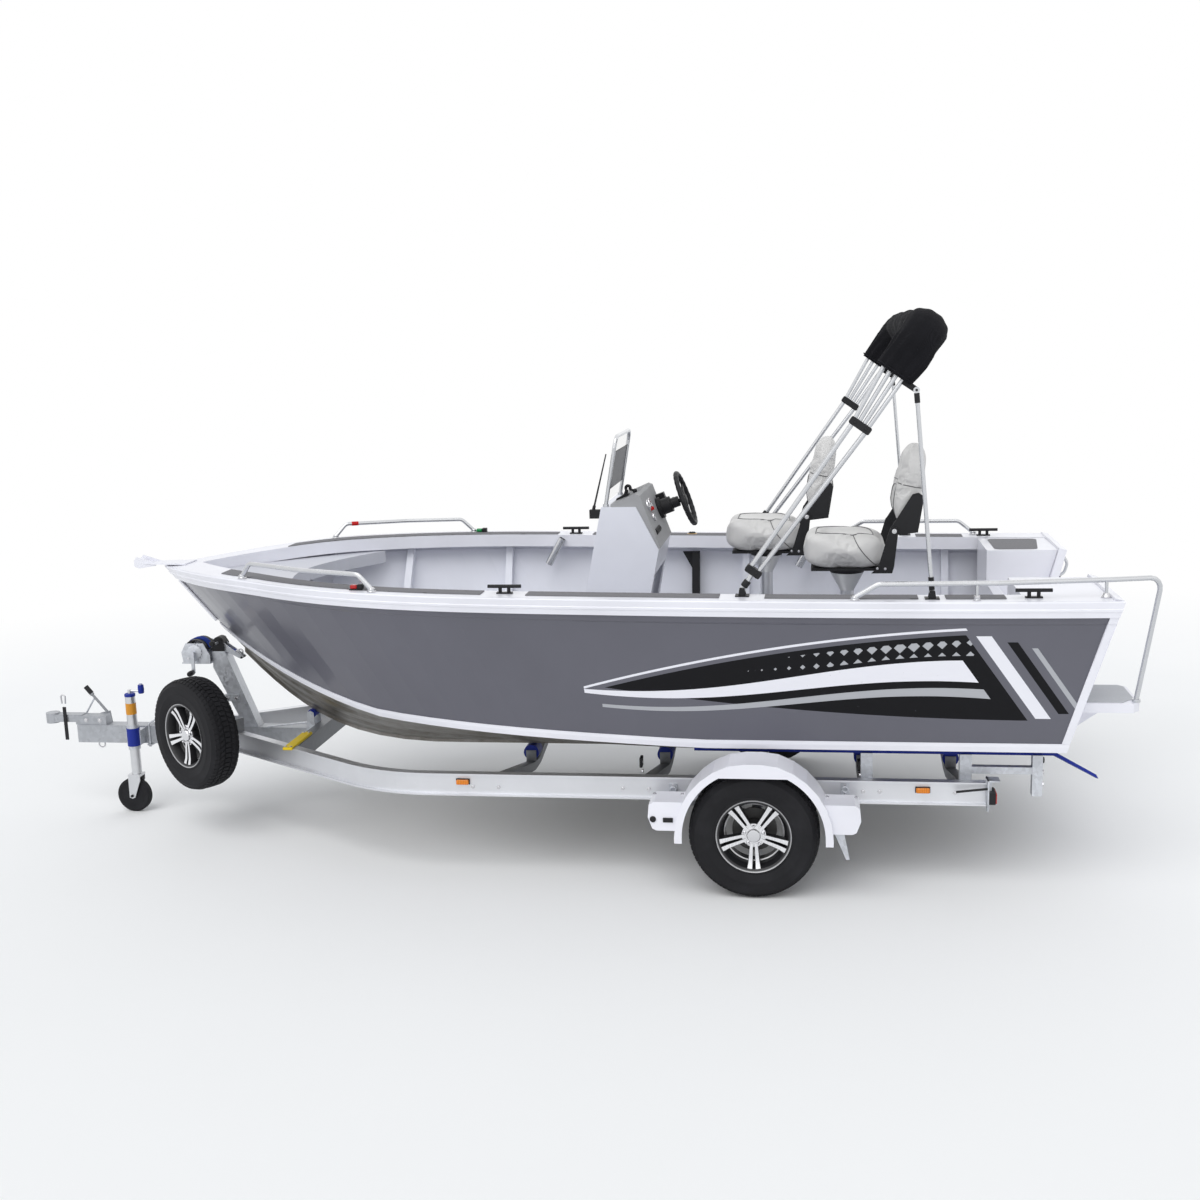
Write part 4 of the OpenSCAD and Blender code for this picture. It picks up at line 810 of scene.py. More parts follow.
class BoatColours(bpy.types.PropertyGroup):
    """Colours of the paints, metals and fabrics."""
    def tone(label, text, value):
        return FloatVectorProperty(name=label, description=text, default=value, subtype="COLOR", size=3,
                                   min=0.0, max=1.0)
    hull_gray: tone("Hull gray", "Paint of the side sheets", (0.108, 0.108, 0.135))
    white: tone("White", "Gunwale, trims and deck paint", (0.84, 0.84, 0.90))
    cockpit_gray: tone("Cockpit gray", "Paint of the liner, ribs and console", (0.79, 0.80, 0.87))
    graphic_gray: tone("Graphic gray", "Light gray bands on the side", (0.42, 0.43, 0.46))
    dash_gray: tone("Dash gray", "Textured finish of the helm's hood", (0.36, 0.36, 0.37))
    pad_gray: tone("Deck foam", "Non-slip pads on the side decks", (0.19, 0.188, 0.20))
    alloy: tone("Alloy", "Bare aluminium sheet", (0.66, 0.67, 0.69))
    tube: tone("Tube", "Polished rails and canopy legs", (0.60, 0.61, 0.63))
    zinc: tone("Zinc", "Galvanised trailer steel", (0.60, 0.62, 0.66))
    rail: tone("Rail alloy", "Extruded trailer side rails", (0.72, 0.73, 0.76))
    black: tone("Black", "Plastic and coated fittings", (0.016, 0.016, 0.018))
    rubber: tone("Rubber", "Tyres", (0.010, 0.010, 0.012))
    blue: tone("Blue", "Rollers, skids and the jockey's cap", (0.010, 0.026, 0.26))
    vinyl: tone("Vinyl", "Seat covers", (0.66, 0.65, 0.64))
    piping: tone("Piping", "Seams on the seats", (0.10, 0.10, 0.105))
    canvas: tone("Canvas", "Canopy boot", (0.006, 0.006, 0.008))
    smoke: tone("Smoke", "Tinted band of the screen", (0.03, 0.03, 0.04))
    amber: tone("Amber", "Side markers", (0.75, 0.22, 0.01))
    red: tone("Red", "Rear lamps", (0.45, 0.01, 0.01))
    yellow: tone("Yellow", "Bow guide pad", (0.72, 0.52, 0.01))


class BoatSizes(bpy.types.PropertyGroup):
    """Sizes of the pieces that dress the boat and trailer."""
    def length(label, text, value):
        return FloatProperty(name=label, description=text, default=value, unit="LENGTH", min=0.0)
    tread_depth: length("Tread depth", "Depth of the grooves in the road tyres", 0.0065)
    tread_blocks: IntProperty(name="Tread blocks", description="Blocks round each rib of the tread",
                              default=66, min=24, max=120)
    bolt_r: length("Bolt size", "Half width across a trailer bolt's head", 0.0085)
    piping_r: length("Piping", "Radius of the piping on the seats", 0.0032)
    bow_r: length("Canopy tube", "Radius of the canopy's upper tubes", 0.0108)
    seam_r: length("Seam", "Radius of the canvas hems", 0.0035)
    dial_r: length("Dial", "Radius of the gauges on the dash", 0.031)
    strap_w: length("Strap width", "Width of the winch strap", 0.050)


class BOAT_OT_stage(bpy.types.Operator):
    """Lays the floor and sets the camera and the studio light"""
    bl_idname = "boat.stage"
    bl_label = "Stage"

    def execute(self, context):
        scene = context.scene
        scene.view_settings.view_transform = "Standard"
        f = Finish("Studio floor", (0.92, 0.92, 0.92), Roughness=0.9)
        path = f.node("ShaderNodeLightPath")
        seen = Wire(f, path.outputs["Is Camera Ray"])
        geometry = f.node("ShaderNodeNewGeometry")
        far = Wire(f, f.node("ShaderNodeVectorMath", {"operation": "LENGTH"},
                             {0: geometry.outputs["Position"]}).outputs["Value"]).ramp(5.5, 9.0)
        glow = f.node("ShaderNodeEmission", None, {"Color": (1, 1, 1, 1), "Strength": 1.0})
        mix = f.node("ShaderNodeMixShader", None, {0: far * seen, 1: f.shader.outputs[0], 2: glow.outputs[0]})
        f.tree.links.new(mix.outputs[0], f.out.inputs[0])
        f.feed("Base Color", f.blend(f.noise(0.6, 3.0), (0.90, 0.90, 0.90), (0.93, 0.93, 0.93)))
        bm = bmesh.new()
        bmesh.ops.create_grid(bm, x_segments=10, y_segments=10, size=60.0)
        mesh = bpy.data.meshes.new("floor")
        bm.to_mesh(mesh)
        bm.free()
        floor = bpy.data.objects.new("floor", mesh)
        mesh.materials.append(f.mat)
        scene.collection.objects.link(floor)
        floor.location.z = -0.001

        world = bpy.data.worlds.new("Studio")
        scene.world = world
        world.use_nodes = True
        tree = world.node_tree
        tree.nodes.clear()
        out = tree.nodes.new("ShaderNodeOutputWorld")
        path = tree.nodes.new("ShaderNodeLightPath")
        shades = []
        for colour, strength in (((0.94, 0.97, 1.0, 1), 0.62), ((1, 1, 1, 1), 1.0)):
            shade = tree.nodes.new("ShaderNodeBackground")
            shade.inputs["Color"].default_value = colour
            shade.inputs["Strength"].default_value = strength
            shades.append(shade.outputs[0])
        top = path.outputs["Is Camera Ray"]
        for socket in ("Is Glossy Ray", "Is Transmission Ray"):
            pick = tree.nodes.new("ShaderNodeMath")
            pick.operation = "MAXIMUM"
            tree.links.new(top, pick.inputs[0])
            tree.links.new(path.outputs[socket], pick.inputs[1])
            top = pick.outputs[0]
        mix = tree.nodes.new("ShaderNodeMixShader")
        for socket, source in zip(mix.inputs, [top] + shades):
            tree.links.new(source, socket)
        tree.links.new(mix.outputs[0], out.inputs[0])

        for name, power, spread, aim in (("key", 1.25, 55, (-0.35, -0.75, -1.0)),
                                         ("fill", 0.35, 90, (0.6, -1.0, -0.35)),
                                         ("back", 0.30, 80, (0.2, 0.9, -0.8))):
            lamp = bpy.data.lights.new(name, "SUN")
            lamp.energy, lamp.angle = power, math.radians(spread)
            obj = bpy.data.objects.new(name, lamp)
            obj.rotation_euler = Vector(aim).to_track_quat("-Z", "Y").to_euler()
            scene.collection.objects.link(obj)

        camera = bpy.data.cameras.new("camera")
        camera.lens, camera.sensor_width = 42.09, 36.0
        obj = bpy.data.objects.new("camera", camera)
        yaw, pitch, roll = math.radians(8.99), math.radians(10.557), math.radians(1.775)
        ahead = Vector((math.sin(yaw), -math.cos(yaw), 0.0))
        right = Vector((-math.cos(yaw), -math.sin(yaw), 0.0))
        down = Vector((0.0, 0.0, -1.0))
        ahead, down = (ahead * math.cos(pitch) + down * math.sin(pitch),
                       down * math.cos(pitch) - ahead * math.sin(pitch))
        right, down = (right * math.cos(roll) + down * math.sin(roll),
                       down * math.cos(roll) - right * math.sin(roll))
        turn = Matrix((right, -down, -ahead)).transposed().to_4x4()
        obj.matrix_world = Matrix.Translation((-1.562, 7.834, 2.765)) @ turn
        scene.collection.objects.link(obj)
        scene.camera = obj
        return {"FINISHED"}


class BOAT_OT_finishes(bpy.types.Operator):
    """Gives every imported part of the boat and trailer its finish"""
    bl_idname = "boat.finishes"
    bl_label = "Finishes"

    def execute(self, context):
        white, gray, metal, steel, black = white_coat(), gray_coat(), alloy(), zinc(), black_plastic()
        plan = {
            finish_of("Hull paint", hull_paint, rgb("hull_gray"), rgb("cockpit_gray")): ["hull_sides"],
            bottom_plate(): ["hull_bottom"],
            white: ["hull_trim", "gunwale_band", "side_decks", "transom", "bowsprit", "swim_steps",
                    "stern_deck", "mudguards"],
            gray: ["side_ribs", "console"],
            finish_of("Five-bar floor plate", checker_plate, tinted(rgb("alloy"), 0.8)): ["cockpit_floor"],
            finish_of("Textured hood", plastic, rgb("dash_gray"), 0.6): ["dash"],
            deck_foam(): ["deck_pads"],
            bright_tube(): ["bow_rails", "stern_rails", "windscreen_frame", "bimini_frame", "bimini_struts",
                            "rod_holders"],
            finish_of("Banded acrylic", clear_pane, rgb("smoke")): ["windscreen_pane"],
            black: ["cleats", "helm_hub", "steering_wheel", "canopy_mounts", "bow_rest", "seat_base_port",
                    "seat_base_starboard",
                    "seat_arms_port", "seat_arms_starboard", "bimini_boot"],
            metal: ["seat_pedestals", "jockey_leg", "jockey_fork"],
            finish_of("Extruded rail", sheet_metal, rgb("rail"), 0.42): ["side_rails"],
            steel: ["jockey_clamp", "winch_post", "winch"],
            finish_of("Drawbar zinc", galvanised, tinted(rgb("zinc"), 0.72), 0.45): ["drawbar", "coupler"],
            # beams at 0.42 of the zinc are painted shade under the hull; posts at 1.1 are painted light
            finish_of("Beams and posts", post_zinc, tinted(rgb("zinc"), 0.42),
                      tinted(rgb("zinc"), 1.1)): ["crossmembers"],
            dull_zinc(): ["spare_carrier", "axle", "handbrake"],
            finish_of("Foredeck paint", paint, tinted(rgb("cockpit_gray"), 0.74), 0.5): ["foredeck"],
            blue_rubber(): ["keel_rollers", "skids"],
            black_rubber(): ["tyre_port", "tyre_starboard", "spare_tyre", "jockey_wheel"],
            machined(): ["rim_port", "rim_starboard", "spare_rim"],
            seat_vinyl(): ["seat_cushion_port", "seat_cushion_starboard", "seat_back_port",
                           "seat_back_starboard"],
        }
        left = set(frame["nodes"])
        for material, nodes in plan.items():
            for node in nodes:
                dress(node, material)
                left.discard(node)
        if left:
            raise RuntimeError("no finish for " + ", ".join(sorted(left)))
        return {"FINISHED"}


class BOAT_OT_graphic(bpy.types.Operator):
    """Lays the vinyl graphic on both side sheets"""
    bl_idname = "boat.graphic"
    bl_label = "Side graphic"

    def execute(self, context):
        stations = [0.0, 0.008] + [1 - (1 - i / 30) ** 1.5 for i in range(1, 31)]
        spans = [w for w in stations if w < 0.52]
        material = finish_of("Hull graphic", hull_graphic)
        for name, side in (("graphic_port", 1), ("graphic_starboard", -1)):
            bm = bmesh.new()
            rows = []
            for w in spans:
                high = gunwale_z(GUNWALE_AFT + GUNWALE_LONG * w) - chine_z(CHINE_AFT + CHINE_LONG * w)
                pts = [side_point(w, s, 0.6) for s in (45.0 / high, 0.848)]
                rows.append([bm.verts.new(p if side > 0 else mirrored(p)) for p in pts])
            for a, b in zip(rows, rows[1:]):
                for tri in (((a[0], a[1], b[1]), (a[0], b[1], b[0])) if side > 0
                            else ((b[0], b[1], a[1]), (b[0], a[1], a[0]))):
                    bm.faces.new(tri)
            piece(name, bm, TRAILER, material, smooth=60)
        return {"FINISHED"}


def tyre_mesh(tread, blocks):
    """A road tyre lying round the Z axis: a carcass with ribbed sidewalls, and tread blocks."""
    bm = bmesh.new()
    r, half, bead = TYRE_R, TYRE_HALF, BEAD_R
    profile = [(bead, -half + 0.020), (bead + 0.006, -half + 0.012), (bead + 0.016, -half + 0.0075),
               (bead + 0.022, -half + 0.0095), (bead + 0.036, -half + 0.004), (0.240, -half + 0.0008),
               (0.244, -half),
               (0.248, -half + 0.0015), (0.262, -half), (0.283, -half + 0.003), (0.289, -half + 0.0022),
               (0.292, -half + 0.0052), (0.305, -half + 0.012), (r - 0.011, -half + 0.022),
               (r - tread, -half + 0.034)]
    ring = profile + [(q, -h) for q, h in reversed(profile)]
    add_lathe(bm, ring, None, 120, closed=True)
    lanes = [(-0.0780, -0.0560, 0.0105), (-0.0510, -0.0235, 0.0012), (-0.0185, 0.0185, 0.0),
             (0.0235, 0.0510, 0.0012),
             (0.0560, 0.0780, 0.0105)]
    for lane, (y0, y1, drop) in enumerate(lanes):
        pitch = 2 * math.pi / blocks
        for k in range(blocks):
            a0 = pitch * (k + (0.5 if lane % 2 else 0.0))
            a1 = a0 + pitch * 0.80
            skew = {0: 0.35, 1: 0.9, 2: 0.0, 3: -0.9, 4: -0.35}[lane] * pitch * 0.6
            outer = []
            inner = []
            for a, y in ((a0, y0), (a1, y0), (a1, y1), (a0, y1)):
                slip = skew * (y - (y0 + y1) / 2) / (y1 - y0)
                dip = drop if (lane == 0 and y == y0) or (lane == 4 and y == y1) else (drop * 0.35
                        if drop > 0.005 else drop)
                for height, out in ((r - dip, outer), (r - tread - 0.004 - dip * 0.5, inner)):
                    inset = 0.0009 if out is outer else 0.0
                    yy = y + (inset if y == y0 else -inset)
                    aa = a + slip + (inset / r if a == a0 else -inset / r)
                    out.append(bm.verts.new((height * math.cos(aa), height * math.sin(aa), yy)))
            bm.faces.new(outer)
            for i in range(4):
                j = (i + 1) % 4
                bm.faces.new((inner[i], inner[j], outer[j], outer[i]))
    return bm


def wheel_turn(centre, angle):
    """Stands a wheel that lies round Z on its own axis, at a centre, turned about the vertical."""
    return Matrix.Translation(centre) @ Matrix.Rotation(angle, 4, "Z") @ ON_SIDE


def rim_mesh():
    """An alloy rim lying round Z, its face towards +Z: barrel, lip, five twin spokes and the hub."""
    bm = bmesh.new()
    half, seat = TYRE_HALF, RIM_R
    add_lathe(bm, [(seat - 0.012, -half + 0.024), (seat, -half + 0.022), (seat, -0.045), (0.150, -0.030),
                   (0.150, 0.020),
                   (seat, 0.050), (seat, half - 0.020), (seat + 0.013, half - 0.0135),
                   (seat + 0.0125, half - 0.009),
                   (seat + 0.009, half - 0.006), (seat + 0.003, half - 0.0085), (seat - 0.006, half - 0.015),
                   (seat - 0.011, half - 0.028), (0.158, 0.022), (0.144, 0.016), (0.144, -0.034),
                   (0.163, -0.050),
                   (seat - 0.012, -half + 0.026)], None, 96, closed=True)
    for k in range(5):
        for s in (-1, 1):
            turn = Matrix.Rotation(math.radians(72 * k - 90), 4, "Z")
            rows = []
            for r, near, far, top, low in ((0.042, 1.6, 20, 0.0640, 0.030), (0.070, 4, 22.5, 0.0650, 0.030),
                                           (0.105, 5.5, 25.5, 0.0655, 0.028),
                                           (0.140, 6.5, 29, 0.0680, 0.024), (0.1710, 7.5, 35, 0.0765, 0.026)):
                n0, f0 = s * near / 1000, s * far / 1000
                rows.append([turn @ Vector(p) for p in (
                    (r, n0, low), (r, n0 + s * 0.0006, top - 0.002), (r, n0 + s * 0.0016, top),
                    (r, f0 - s * 0.0016, top), (r, f0 - s * 0.0006, top - 0.002), (r, f0, low))])
            add_loft(bm, rows)
    add_lathe(bm, [(0.0200, 0.030), (0.0640, 0.030), (0.0640, 0.056), (0.0600, 0.062), (0.0360, 0.0635),
                   (0.0345, 0.058),
                   (0.0200, 0.058)], None, 60, closed=True)
    return bm


def rim_details(bright):
    """Nuts and centre cap, or the brake disc behind the spokes."""
    bm = bmesh.new()
    if bright:
        for k in range(5):
            a = math.radians(72 * k - 54)
            at = Matrix.Translation((0.0485 * math.cos(a), 0.0485 * math.sin(a), 0.0))
            add_lathe(bm, [(0.0105, 0.060), (0.0105, 0.064)], at, 18)
            add_lathe(bm, [(0.0085, 0.064), (0.0085, 0.074), (0.006, 0.0775)], at, 6)
        add_lathe(bm, [(0.0325, 0.056), (0.0325, 0.072), (0.030, 0.0755), (0.012, 0.0775)], None, 40)
    else:
        add_lathe(bm, [(0.060, -0.040), (0.112, -0.040), (0.112, -0.030), (0.060, -0.030)], None, 60,
                  closed=True)
        add_lathe(bm, [(0.020, -0.044), (0.0615, -0.044), (0.0615, 0.0295), (0.020, 0.0295)], None, 40,
                  closed=True)
    return bm


class BOAT_OT_wheels(bpy.types.Operator):
    """Builds the road wheels and the spare: treaded tyres and twin-spoke rims"""
    bl_idname = "boat.wheels"
    bl_label = "Wheels"

    def execute(self, context):
        s = sizes()
        tyre_mat, rim_mat = black_rubber(), machined()
        bright = finish_of("Bright nuts", polished, (0.72, 0.72, 0.74), 0.2)
        disc = finish_of("Brake disc", sheet_metal, (0.10, 0.10, 0.10), 0.5)
        spare = spot(3235, 455, 597)
        for name, centre, angle, body, nodes in (
                ("port", JOINTS["wheel_port_spin"], math.pi, "wheel_port", ("tyre_port", "rim_port")),
                ("starboard", JOINTS["wheel_starboard_spin"], 0.0, "wheel_starboard",
                 ("tyre_starboard", "rim_starboard")),
                ("spare", spare, math.radians(180 - 33), TRAILER, ("spare_tyre", "spare_rim"))):
            m = wheel_turn(centre, angle)
            bm = tyre_mesh(s.tread_depth, s.tread_blocks)
            bm.transform(m)
            piece("tyre_" + name + "_tread", bm, body, tyre_mat, replaces=(nodes[0],),
                  smooth=35)
            for part, bm, mat in (("rim", rim_mesh(), rim_mat), ("nuts", rim_details(True), bright),
                                  ("disc", rim_details(False), disc)):
                piece(part + "_" + name + "_detail", bm, body, mat, replaces=nodes[1:] if part == "rim"
                      else (),
                      smooth=32, matrix=m)
        return {"FINISHED"}


# ---- seats ----

def seat_matrix(post, lean=0.0):
    """Seat axes: the origin on the post's axis under the cushion, or on the back's pivot."""
    m = Matrix.Translation(post)
    if lean:
        m = m @ Matrix.Translation(SEAT_PIVOT) @ Matrix.Rotation(math.radians(-lean), 4, "Y")
    return m


def rounded_block(half, power, cuts=18):
    """A closed pillow-like form: a cube's grid pushed out to a squarish ellipsoid."""
    bm = bmesh.new()
    bmesh.ops.create_cube(bm, size=2.0)
    bmesh.ops.subdivide_edges(bm, edges=bm.edges, cuts=cuts, use_grid_fill=True)
    for v in bm.verts:
        q = v.co
        k = (abs(q.x) ** power + abs(q.y) ** power + abs(q.z) ** power) ** (-1.0 / power)
        v.co = Vector((q.x * k * half[0], q.y * k * half[1], q.z * k * half[2]))
    return bm


def cushion_form():
    """The seat cushion: a deep round nose, side bolsters and a dished middle, in metres."""
    bm = rounded_block((0.220, 0.205, 0.076), 5.2)
    for v in bm.verts:
        x, y, z = v.co
        up = (z + 0.078) / 0.156
        v.co.z += up * (0.020 * min(1.0, abs(y) / 0.17) ** 3 - 0.010 * (1 - min(1.0, abs(y) / 0.17) ** 2))
        v.co.z += up * (0.012 * x / 0.222)
        v.co.y *= 1.0 - 0.07 * max(0.0, -x / 0.222) ** 2
        if x > 0.12 and up < 0.5:
            v.co.z += 0.016 * ((x - 0.12) / 0.1) ** 2
        v.co.x += 0.012
        v.co.z += 0.088
    return bm


def back_form():
    """The backrest: thin at its foot, deepest at the small of the back, with a rolled head."""
    bm = rounded_block((0.5, 0.196, 0.214), 4.4)
    for v in bm.verts:
        x, y, z = v.co
        h = (z + 0.214) / 0.428
        deep = 0.047 + 0.012 * math.sin(math.pi * min(1.0, h / 0.72))
        fore = x / 0.5
        v.co.x = fore * deep
        if fore > 0:
            v.co.x += 0.010 * min(1.0, abs(y) / 0.15) ** 3 * (1 - h * 0.4) - 0.008 * (1 - min(1,
                    abs(y) / 0.15) ** 2)
        v.co.y *= 1.0 - 0.12 * max(0.0, h - 0.55) ** 1.4 / 0.45 ** 1.4
        v.co.x -= 0.050
        v.co.z += 0.236
    return bm


def plumped(name, bm, cap, pressure=4.0, voxel=0.006):
    """Swells a cushion as a closed cloth cover under pressure, each point moving at most the cap."""
    mesh = bpy.data.meshes.new(name)
    bmesh.ops.recalc_face_normals(bm, faces=bm.faces)
    bm.to_mesh(mesh)
    bm.free()
    scene = bpy.context.scene
    obj = bpy.data.objects.new(name, mesh)
    scene.collection.objects.link(obj)
    remesh = obj.modifiers.new("even", "REMESH")
    remesh.mode, remesh.voxel_size = "VOXEL", voxel
    depsgraph = bpy.context.evaluated_depsgraph_get()
    even = bpy.data.meshes.new_from_object(obj.evaluated_get(depsgraph))
    obj.modifiers.clear()
    obj.data = even
    rest = np.array([v.co for v in even.vertices])
    cloth = obj.modifiers.new("cover", "CLOTH")
    cs = cloth.settings
    cs.quality = 5
    cs.use_pressure = True
    cs.uniform_pressure_force = pressure
    cs.tension_stiffness = cs.compression_stiffness = 25
    cs.shear_stiffness = 12
    cs.bending_stiffness = 1.2
    cs.mass = 0.3
    cs.effector_weights.gravity = 0.0
    cloth.collision_settings.use_collision = False
    cloth.point_cache.frame_start, cloth.point_cache.frame_end = 1, 20
    for k in range(1, 21):
        scene.frame_set(k)
    depsgraph = bpy.context.evaluated_depsgraph_get()
    swollen = bpy.data.meshes.new_from_object(obj.evaluated_get(depsgraph))
    scene.frame_set(1)
    moved = np.array([v.co for v in swollen.vertices])
    if len(moved) != len(rest):
        raise RuntimeError(name + ": the cover changed its points")
    step = moved - rest
    size = np.linalg.norm(step, axis=1, keepdims=True)
    step *= np.minimum(1.0, cap / np.maximum(size, 1e-9))
    even.vertices.foreach_set("co", (rest + step).astype(np.float32).ravel())
    even.update()
    bpy.data.objects.remove(obj)
    return even


def keep_in(mesh, low, high):
    """Presses a soft mesh softly back inside a box."""
    n = len(mesh.vertices)
    co = np.empty(n * 3, np.float32)
    mesh.vertices.foreach_get("co", co)
    co = co.reshape(-1, 3)
    for a in range(3):
        co[:, a] = np.clip(co[:, a], low[a], high[a])
    mesh.vertices.foreach_set("co", co.ravel())
    mesh.update()


def piping_on(mesh, path, away, r):
    """A cord of piping laid on a soft mesh: each point of the path is dropped on it from outside."""
    bm = bmesh.new()
    bm.from_mesh(mesh)
    tree = BVHTree.FromBMesh(bm)
    points = []
    for p, d in zip(path, away):
        d = Vector(d).normalized()
        hit, normal, _, _ = tree.ray_cast(Vector(p) + d * 0.4, -d)
        if hit is not None:
            points.append(hit + normal * r * 0.15)
    bm.free()
    return points


def squarish(n, u0, ru, v0, rv, power):
    """A ring of n points between a circle and a square, about (u0, v0)."""
    def bent(s):
        return math.copysign(abs(s) ** power, s)
    turns = [2 * math.pi * k / n for k in range(n)]
    return [(u0 + ru * bent(math.cos(t)), v0 + rv * bent(math.sin(t))) for t in turns]


class BOAT_OT_seats(bpy.types.Operator):
    """Makes the seat cushions and backs with their piping and screws"""
    bl_idname = "boat.seats"
    bl_label = "Seats"

    def execute(self, context):
        s = sizes()
        cushion = plumped("cushion", cushion_form(), 0.016)
        back = plumped("back", back_form(), 0.014)
        keep_in(cushion, (-0.222, -0.214, 0.0004), (0.240, 0.214, 0.182))
        keep_in(back, (-0.1115, -0.202, 0.012), (0.022, 0.202, 0.452))
        cord = finish_of("Seat piping", vinyl, rgb("piping"))
        for tag, post in (("port", "seat_port_swivel"), ("starboard", "seat_starboard_swivel")):
            origin = JOINTS[post]
            for part, mesh, m, body in (("cushion", cushion, seat_matrix(origin), "seat_" + tag),
                                        ("back", back, seat_matrix(origin, 9.0), "seat_back_" + tag)):
                own = mesh.copy()
                obj = piece("seat_" + part + "_" + tag + "_soft", own, body, seat_vinyl(),
                            replaces=("seat_" + part + "_" + tag,), smooth=180, subsurf=1,
                            matrix=m)
                # the piping on its seams
                bm = bmesh.new()
                if part == "cushion":
                    n = 72
                    ring = squarish(n, 0.015, 0.150, 0.0, 0.140, 0.55)
                    pts = piping_on(own, [(x, y, 0.1) for x, y in ring], [(0, 0, 1)] * n, s.piping_r)
                    add_tube(bm, pts + [pts[0]], s.piping_r, 8, caps=False)
                    for side in (-1, 1):
                        line = [(-0.03 - 0.07 * k / 14 - 0.06 * (k / 14) ** 2, side * 0.3,
                                 0.170 - 0.165 * k / 14) for k in range(15)]
                        pts = piping_on(own, line, [(0, side, 0.0)] * 15, s.piping_r)
                        if len(pts) > 3:
                            add_tube(bm, pts, s.piping_r * 0.8, 8)
                else:
                    n = 60
                    ring = squarish(n, 0.0, 1.0, 0.0, 1.0, 1.0)
                    path = [(-0.05, 0.0, 0.235 + 0.012 * x) for x, y in ring]
                    pts = piping_on(own, path, [(x, y, 0.0) for x, y in ring], s.piping_r)
                    add_tube(bm, pts + [pts[0]], s.piping_r * 0.8, 8, caps=False)
                    n = 64
                    ring = squarish(n, 0.0, 0.128, 0.130, 0.088, 0.6)
                    pts = piping_on(own, [(0.0, y, z) for y, z in ring], [(1, 0, 0)] * n, s.piping_r)
                    if len(pts) == n:
                        add_tube(bm, pts + [pts[0]], s.piping_r, 8, caps=False)
                bm.transform(m)
                piece("seat_" + part + "_" + tag + "_piping", bm, body, cord, smooth=60)
            # screws of the hinge brackets
            bm = bmesh.new()
            for side in (-1, 1):
                add_hex(bm, origin + SEAT_PIVOT + Vector((0, side * 0.2325, 0)), (0, side, 0), 0.009, 0.007)
                for dx, dz in ((-0.190, 0.010), (-0.150, 0.012)):
                    add_hex(bm, origin + Vector((dx, side * 0.2323, dz)), (0, side, 0), 0.005, 0.004)
            piece("seat_bolts_" + tag, bm, "seat_" + tag, stainless(),
                  smooth=30)
        return {"FINISHED"}


# ---- canopy ----

def canopy_matrix():
    foot = JOINTS["bimini_tilt"]
    return Matrix.Translation((foot.x, 0.0, foot.z)) @ Matrix.Rotation(math.radians(-35.5), 4, "Y")


def boot_path():
    """The roll's middle line in the frame's own plane: up a leg, round, across and down again."""
    z0, z1, bend = 1.252, 1.508, 0.160
    y, z = LEG_Y - bend, z1 - bend
    half = [(LEG_Y, z0), (LEG_Y, z)]
    half += [(y + bend * math.cos(math.radians(a)), z + bend * math.sin(math.radians(a)))
             for a in range(15, 91, 15)]
    half += [(y - y * k / 6, z1 + 0.004 * k / 6) for k in range(1, 7)]
    return half + [(-a, b) for a, b in reversed(half[:-1])]


